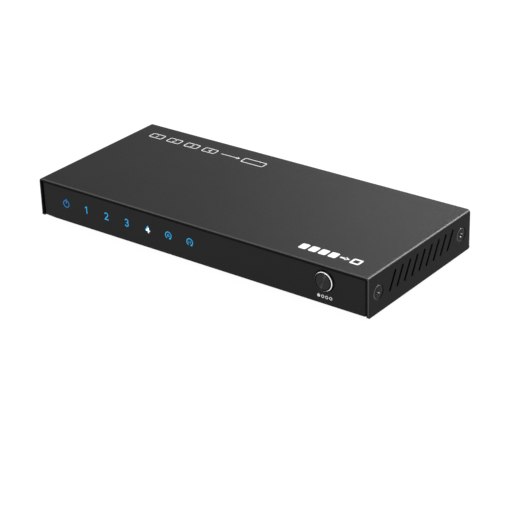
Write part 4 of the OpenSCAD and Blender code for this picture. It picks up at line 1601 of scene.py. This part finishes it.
@dataclass
class VideoSocket:
    """Sheet metal shell of one video socket, with its flared lip and legs."""

    name: str
    mouth_w: float = 14.0 * MM
    mouth_h: float = 4.55 * MM
    mouth_floor: float = 10.0 * MM
    mouth_side: float = 2.5 * MM
    corner: float = 0.55 * MM
    corner_steps: int = 5
    sheet: float = 0.35 * MM
    flare_h: float = 0.4 * MM
    flare_len: float = 0.4 * MM
    edge: float = 0.07 * MM
    leg_w: float = 1.6 * MM
    leg_at: Span = (5.0 * MM, 9.4 * MM)

    def build(self) -> None:
        """Builds and dresses the shell, and dresses what is in it."""
        node = self.name + "_shell"
        place(node + "_sheet", self.shell(node), (NICKEL,), stands_for=(node,))
        dress(self.name + "_insulator", MOULDING)
        dress(self.name + "_contacts", GOLD)

    def outline(self) -> BMesh:
        """The mouth's rounded outline in X and Z, as one face.

        Returns:
            The flat mesh, with the middle of the mouth's floor at the origin.
        """
        half, floor, slant = self.mouth_w / 2, self.mouth_floor / 2, self.mouth_h - self.mouth_side
        right = [(floor, 0.0), (half, slant), (half, self.mouth_h)]
        corners = [(-floor, 0.0), *right, (-half, self.mouth_h), (-half, slant)]
        mesh = bmesh.new()
        mesh.faces.new([mesh.verts.new((x, 0.0, z)) for x, z in corners])
        round_corners(mesh, self.corner, self.corner_steps)
        return mesh

    def shell(self, node: str) -> BMesh:
        """The shell at its place: two rings round the mouth, drawn forwards.

        Args:
            node: The CAD node that it stands for.

        Returns:
            The closed mesh.
        """
        low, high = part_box(node)
        mesh = self.outline()
        core = mesh.faces[:]
        wall, lip = (inset(mesh, core, -width) for width in (self.sheet, self.flare_h))
        bmesh.ops.delete(mesh, geom=core, context="FACES_ONLY")
        front = self.draw_forwards(mesh, wall + lip, self.flare_len)
        spots = {self.spot(face) for face in wall}
        back = [face for face in front if self.spot(face) in spots]
        self.draw_forwards(mesh, back, high.y - low.y - self.flare_len)
        bmesh.ops.recalc_face_normals(mesh, faces=mesh.faces)
        soften(mesh, self.edge)
        floor_z = high.z - self.sheet - self.flare_h - self.mouth_h
        at = Vector(((low.x + high.x) / 2, high.y, floor_z))
        bmesh.ops.translate(mesh, vec=at, verts=mesh.verts)
        return joined((mesh, *self.legs(at, low.z)))

    def spot(self, face: BMFace) -> tuple[int, ...]:
        """Where the middle of a face is when it is seen from the rear, in whole steps."""
        return tuple(round(axis / MERGE) for axis in face.calc_center_median().xz)

    def draw_forwards(self, mesh: BMesh, faces: Sequence[BMFace], length: float) -> list[BMFace]:
        """Extrudes faces towards the front of the case.

        Args:
            mesh: The mesh.
            faces: Faces to extrude.
            length: How far.

        Returns:
            The faces at the far end.
        """
        drawn = bmesh.ops.extrude_face_region(mesh, geom=faces)["geom"]
        verts = [item for item in drawn if isinstance(item, BMVert)]
        bmesh.ops.translate(mesh, vec=(0.0, -length, 0.0), verts=verts)
        return [item for item in drawn if isinstance(item, BMFace)]

    def legs(self, at: Vector, low_z: float) -> list[BMesh]:
        """The four legs through the board.

        Args:
            at: Middle of the mouth's floor.
            low_z: Lower end of the legs.

        Returns:
            One block for each leg.
        """
        high_z = at.z + self.mouth_h - self.mouth_side + self.sheet
        size = (self.sheet, self.leg_w, high_z - low_z)
        reach = (self.mouth_w + self.sheet) / 2
        return [
            block(size, (at.x + side * reach, at.y - back, (low_z + high_z) / 2))
            for side in (-1, 1) for back in self.leg_at
        ]


@dataclass
class PowerJack:
    """Barrel jack beside the sockets."""

    edge: float = 0.22 * MM

    def build(self) -> None:
        """Builds the housing with softer edges, and dresses its contacts."""
        housing = merged_copy("power_jack_housing")
        soften(housing, self.edge, segments=3)
        place("jack_moulding", housing, (MOULDING,), stands_for=("power_jack_housing",))
        dress("power_jack_pin", NICKEL)
        dress("power_jack_spring", NICKEL)


@dataclass
class Electronics:
    """What the closed case holds: the board and all that stands on it."""

    finishes: dict[str, Finish] = field(default_factory=lambda: {
        "main_board": LAMINATE,
        "board_posts": ZINC,
        "board_screws": ZINC,
        "light_pipe": CLEAR,
        "switch_housing": MOULDING,
        "switch_plunger": MOULDING,
        "switch_frame": NICKEL,
        "switch_dome": NICKEL,
        "ir_receiver": RECEIVER,
        "ir_receiver_leads": NICKEL,
        "switch_chip": EPOXY,
        "controller_chip": EPOXY,
        "regulator": EPOXY,
        "port_chips": EPOXY,
        "thermal_pad": PAD,
        "heatsink": SINK,
        "crystal": NICKEL,
        "inductor": FERRITE,
        "bulk_capacitors": CAN,
    })

    def build(self) -> None:
        """Dresses the pieces on the board."""
        for node, finish in self.finishes.items():
            dress(node, finish)
        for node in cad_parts:
            if node.startswith("led_"):
                dress(node, LED)


@dataclass
class Lamp:
    """A square soft lamp that points at the case."""

    name: str
    at: tuple[float, float, float]
    size: float
    watts: float

    def build(self) -> None:
        """Hangs the lamp."""
        data = bpy.data.lights.new(self.name, "AREA")
        data.shape = "SQUARE"
        data.size = self.size
        data.energy = self.watts
        lamp = linked(self.name, data)
        lamp.location = self.at
        lamp.rotation_euler = (-Vector(self.at)).to_track_quat("-Z", "Y").to_euler()


@dataclass
class Studio:
    """White studio: a pale floor, soft light and the camera."""

    camera_at: tuple[float, float, float] = (0.3816, -0.4858, 0.2965)
    azimuth: float = math.radians(37.955)
    elevation: float = math.radians(26.362)
    roll: float = math.radians(-1.84)
    lens: float = 121.16
    sensor: float = 36.0
    near: float = 0.01
    floor_r: float = 6.0
    floor_bounce: float = 0.4
    floor_white: float = 0.95
    floor_shade: float = 0.1
    sky: float = 0.4
    lamps: tuple[Lamp, ...] = (
        Lamp("rim", (0.44, 0.70, 0.50), 0.3, 6.0),
        Lamp("back", (-0.295, 0.786, 0.543), 0.33, 4.1),
        Lamp("front", (-0.1, -0.9, 0.5), 0.25, 5.0),
    )

    def build(self) -> None:
        """Sets up the studio."""
        bpy.context.scene.view_settings.view_transform = "Standard"
        self.floor()
        self.world()
        for lamp in self.lamps:
            lamp.build()
        self.camera()

    def seen(self, tree: NodeTree) -> NodeSocket:
        """One for rays that show the background: from the camera, a gloss or clear plastic.

        Args:
            tree: The node tree to add to.

        Returns:
            The value, 0 or 1.
        """
        path = tree.nodes.new("ShaderNodeLightPath")
        total = path.outputs["Is Camera Ray"]
        for ray in ("Is Glossy Ray", "Is Transmission Ray"):
            either = tree.nodes.new("ShaderNodeMath")
            either.operation = "MAXIMUM"
            tree.links.new(total, either.inputs[0])
            tree.links.new(path.outputs[ray], either.inputs[1])
            total = either.outputs[0]
        return total

    def plain(self, tree: NodeTree, kind: str, grey: float = 1.0, strength: float | None = None) -> Node:
        """Adds a plain grey shader.

        Args:
            tree: The node tree to add to.
            kind: Type of the shader, without its common prefix.
            grey: Its grey, from 0 to 1.
            strength: Its strength, or None where it has none.

        Returns:
            The shader's node.
        """
        node = tree.nodes.new("ShaderNode" + kind)
        node.inputs["Color"].default_value = (grey, grey, grey, 1.0)
        if strength is not None:
            node.inputs["Strength"].default_value = strength
        return node

    def show(self, tree: NodeTree, lighting: Node, shown: Node, output: str) -> None:
        """Gives the rays that show the background one shader, and the light another.

        Args:
            tree: The node tree to add to.
            lighting: The shader that lights the case.
            shown: The shader that is seen.
            output: Kind of the output, Material or World.
        """
        mix = tree.nodes.new("ShaderNodeMixShader")
        tree.links.new(self.seen(tree), mix.inputs["Fac"])
        for number, shader in enumerate((lighting, shown), start=1):
            tree.links.new(shader.outputs[0], mix.inputs[number])
        surface = tree.nodes.new("ShaderNodeOutput" + output).inputs["Surface"]
        tree.links.new(mix.outputs[0], surface)

    def floor(self) -> None:
        """Pale floor that the background white is made on, and that keeps the shadow."""
        mesh = bmesh.new()
        bmesh.ops.create_circle(mesh, cap_ends=True, segments=ROUND_STEPS, radius=self.floor_r)
        floor = linked("floor", as_data("floor", mesh))
        material = bpy.data.materials.new("pale_floor")
        material.use_nodes = True
        tree = material.node_tree
        tree.nodes.clear()
        bounce = self.plain(tree, "BsdfDiffuse", self.floor_bounce)
        shade = self.plain(tree, "BsdfDiffuse", self.floor_shade)
        white = self.plain(tree, "Emission", strength=self.floor_white)
        pale = tree.nodes.new("ShaderNodeAddShader")
        tree.links.new(shade.outputs[0], pale.inputs[0])
        tree.links.new(white.outputs[0], pale.inputs[1])
        self.show(tree, bounce, pale, "Material")
        floor.data.materials.append(material)

    def world(self) -> None:
        """Even sky light, white where the background shows."""
        world = bpy.data.worlds.new("studio")
        world.use_nodes = True
        tree = world.node_tree
        tree.nodes.clear()
        light = self.plain(tree, "Background", strength=self.sky)
        white = self.plain(tree, "Background", strength=1.0)
        self.show(tree, light, white, "World")
        bpy.context.scene.world = world

    def camera(self) -> None:
        """Camera at the photograph's angle."""
        data = bpy.data.cameras.new("camera")
        data.sensor_width = self.sensor
        data.lens = self.lens
        data.clip_start = self.near
        camera = linked("camera", data)
        turn = (
            Matrix.Rotation(self.azimuth, 4, "Z")
            @ Matrix.Rotation(math.pi / 2 - self.elevation, 4, "X")
            @ Matrix.Rotation(self.roll, 4, "Z")
        )
        camera.matrix_world = Matrix.Translation(self.camera_at) @ turn
        bpy.context.scene.camera = camera


def main() -> None:
    """Builds the studio, and then every sub-assembly in order."""
    logging.basicConfig(level=logging.INFO, format="%(name)s %(message)s")
    Studio().build()
    Cover().build()
    Tray().build()
    Front().build()
    Button().build()
    inputs = [f"input_{number}" for number in range(1, INPUTS + 1)]
    for name in (*inputs, "output"):
        VideoSocket(name).build()
    PowerJack().build()
    Electronics().build()


if __name__ == "__main__":
    main()
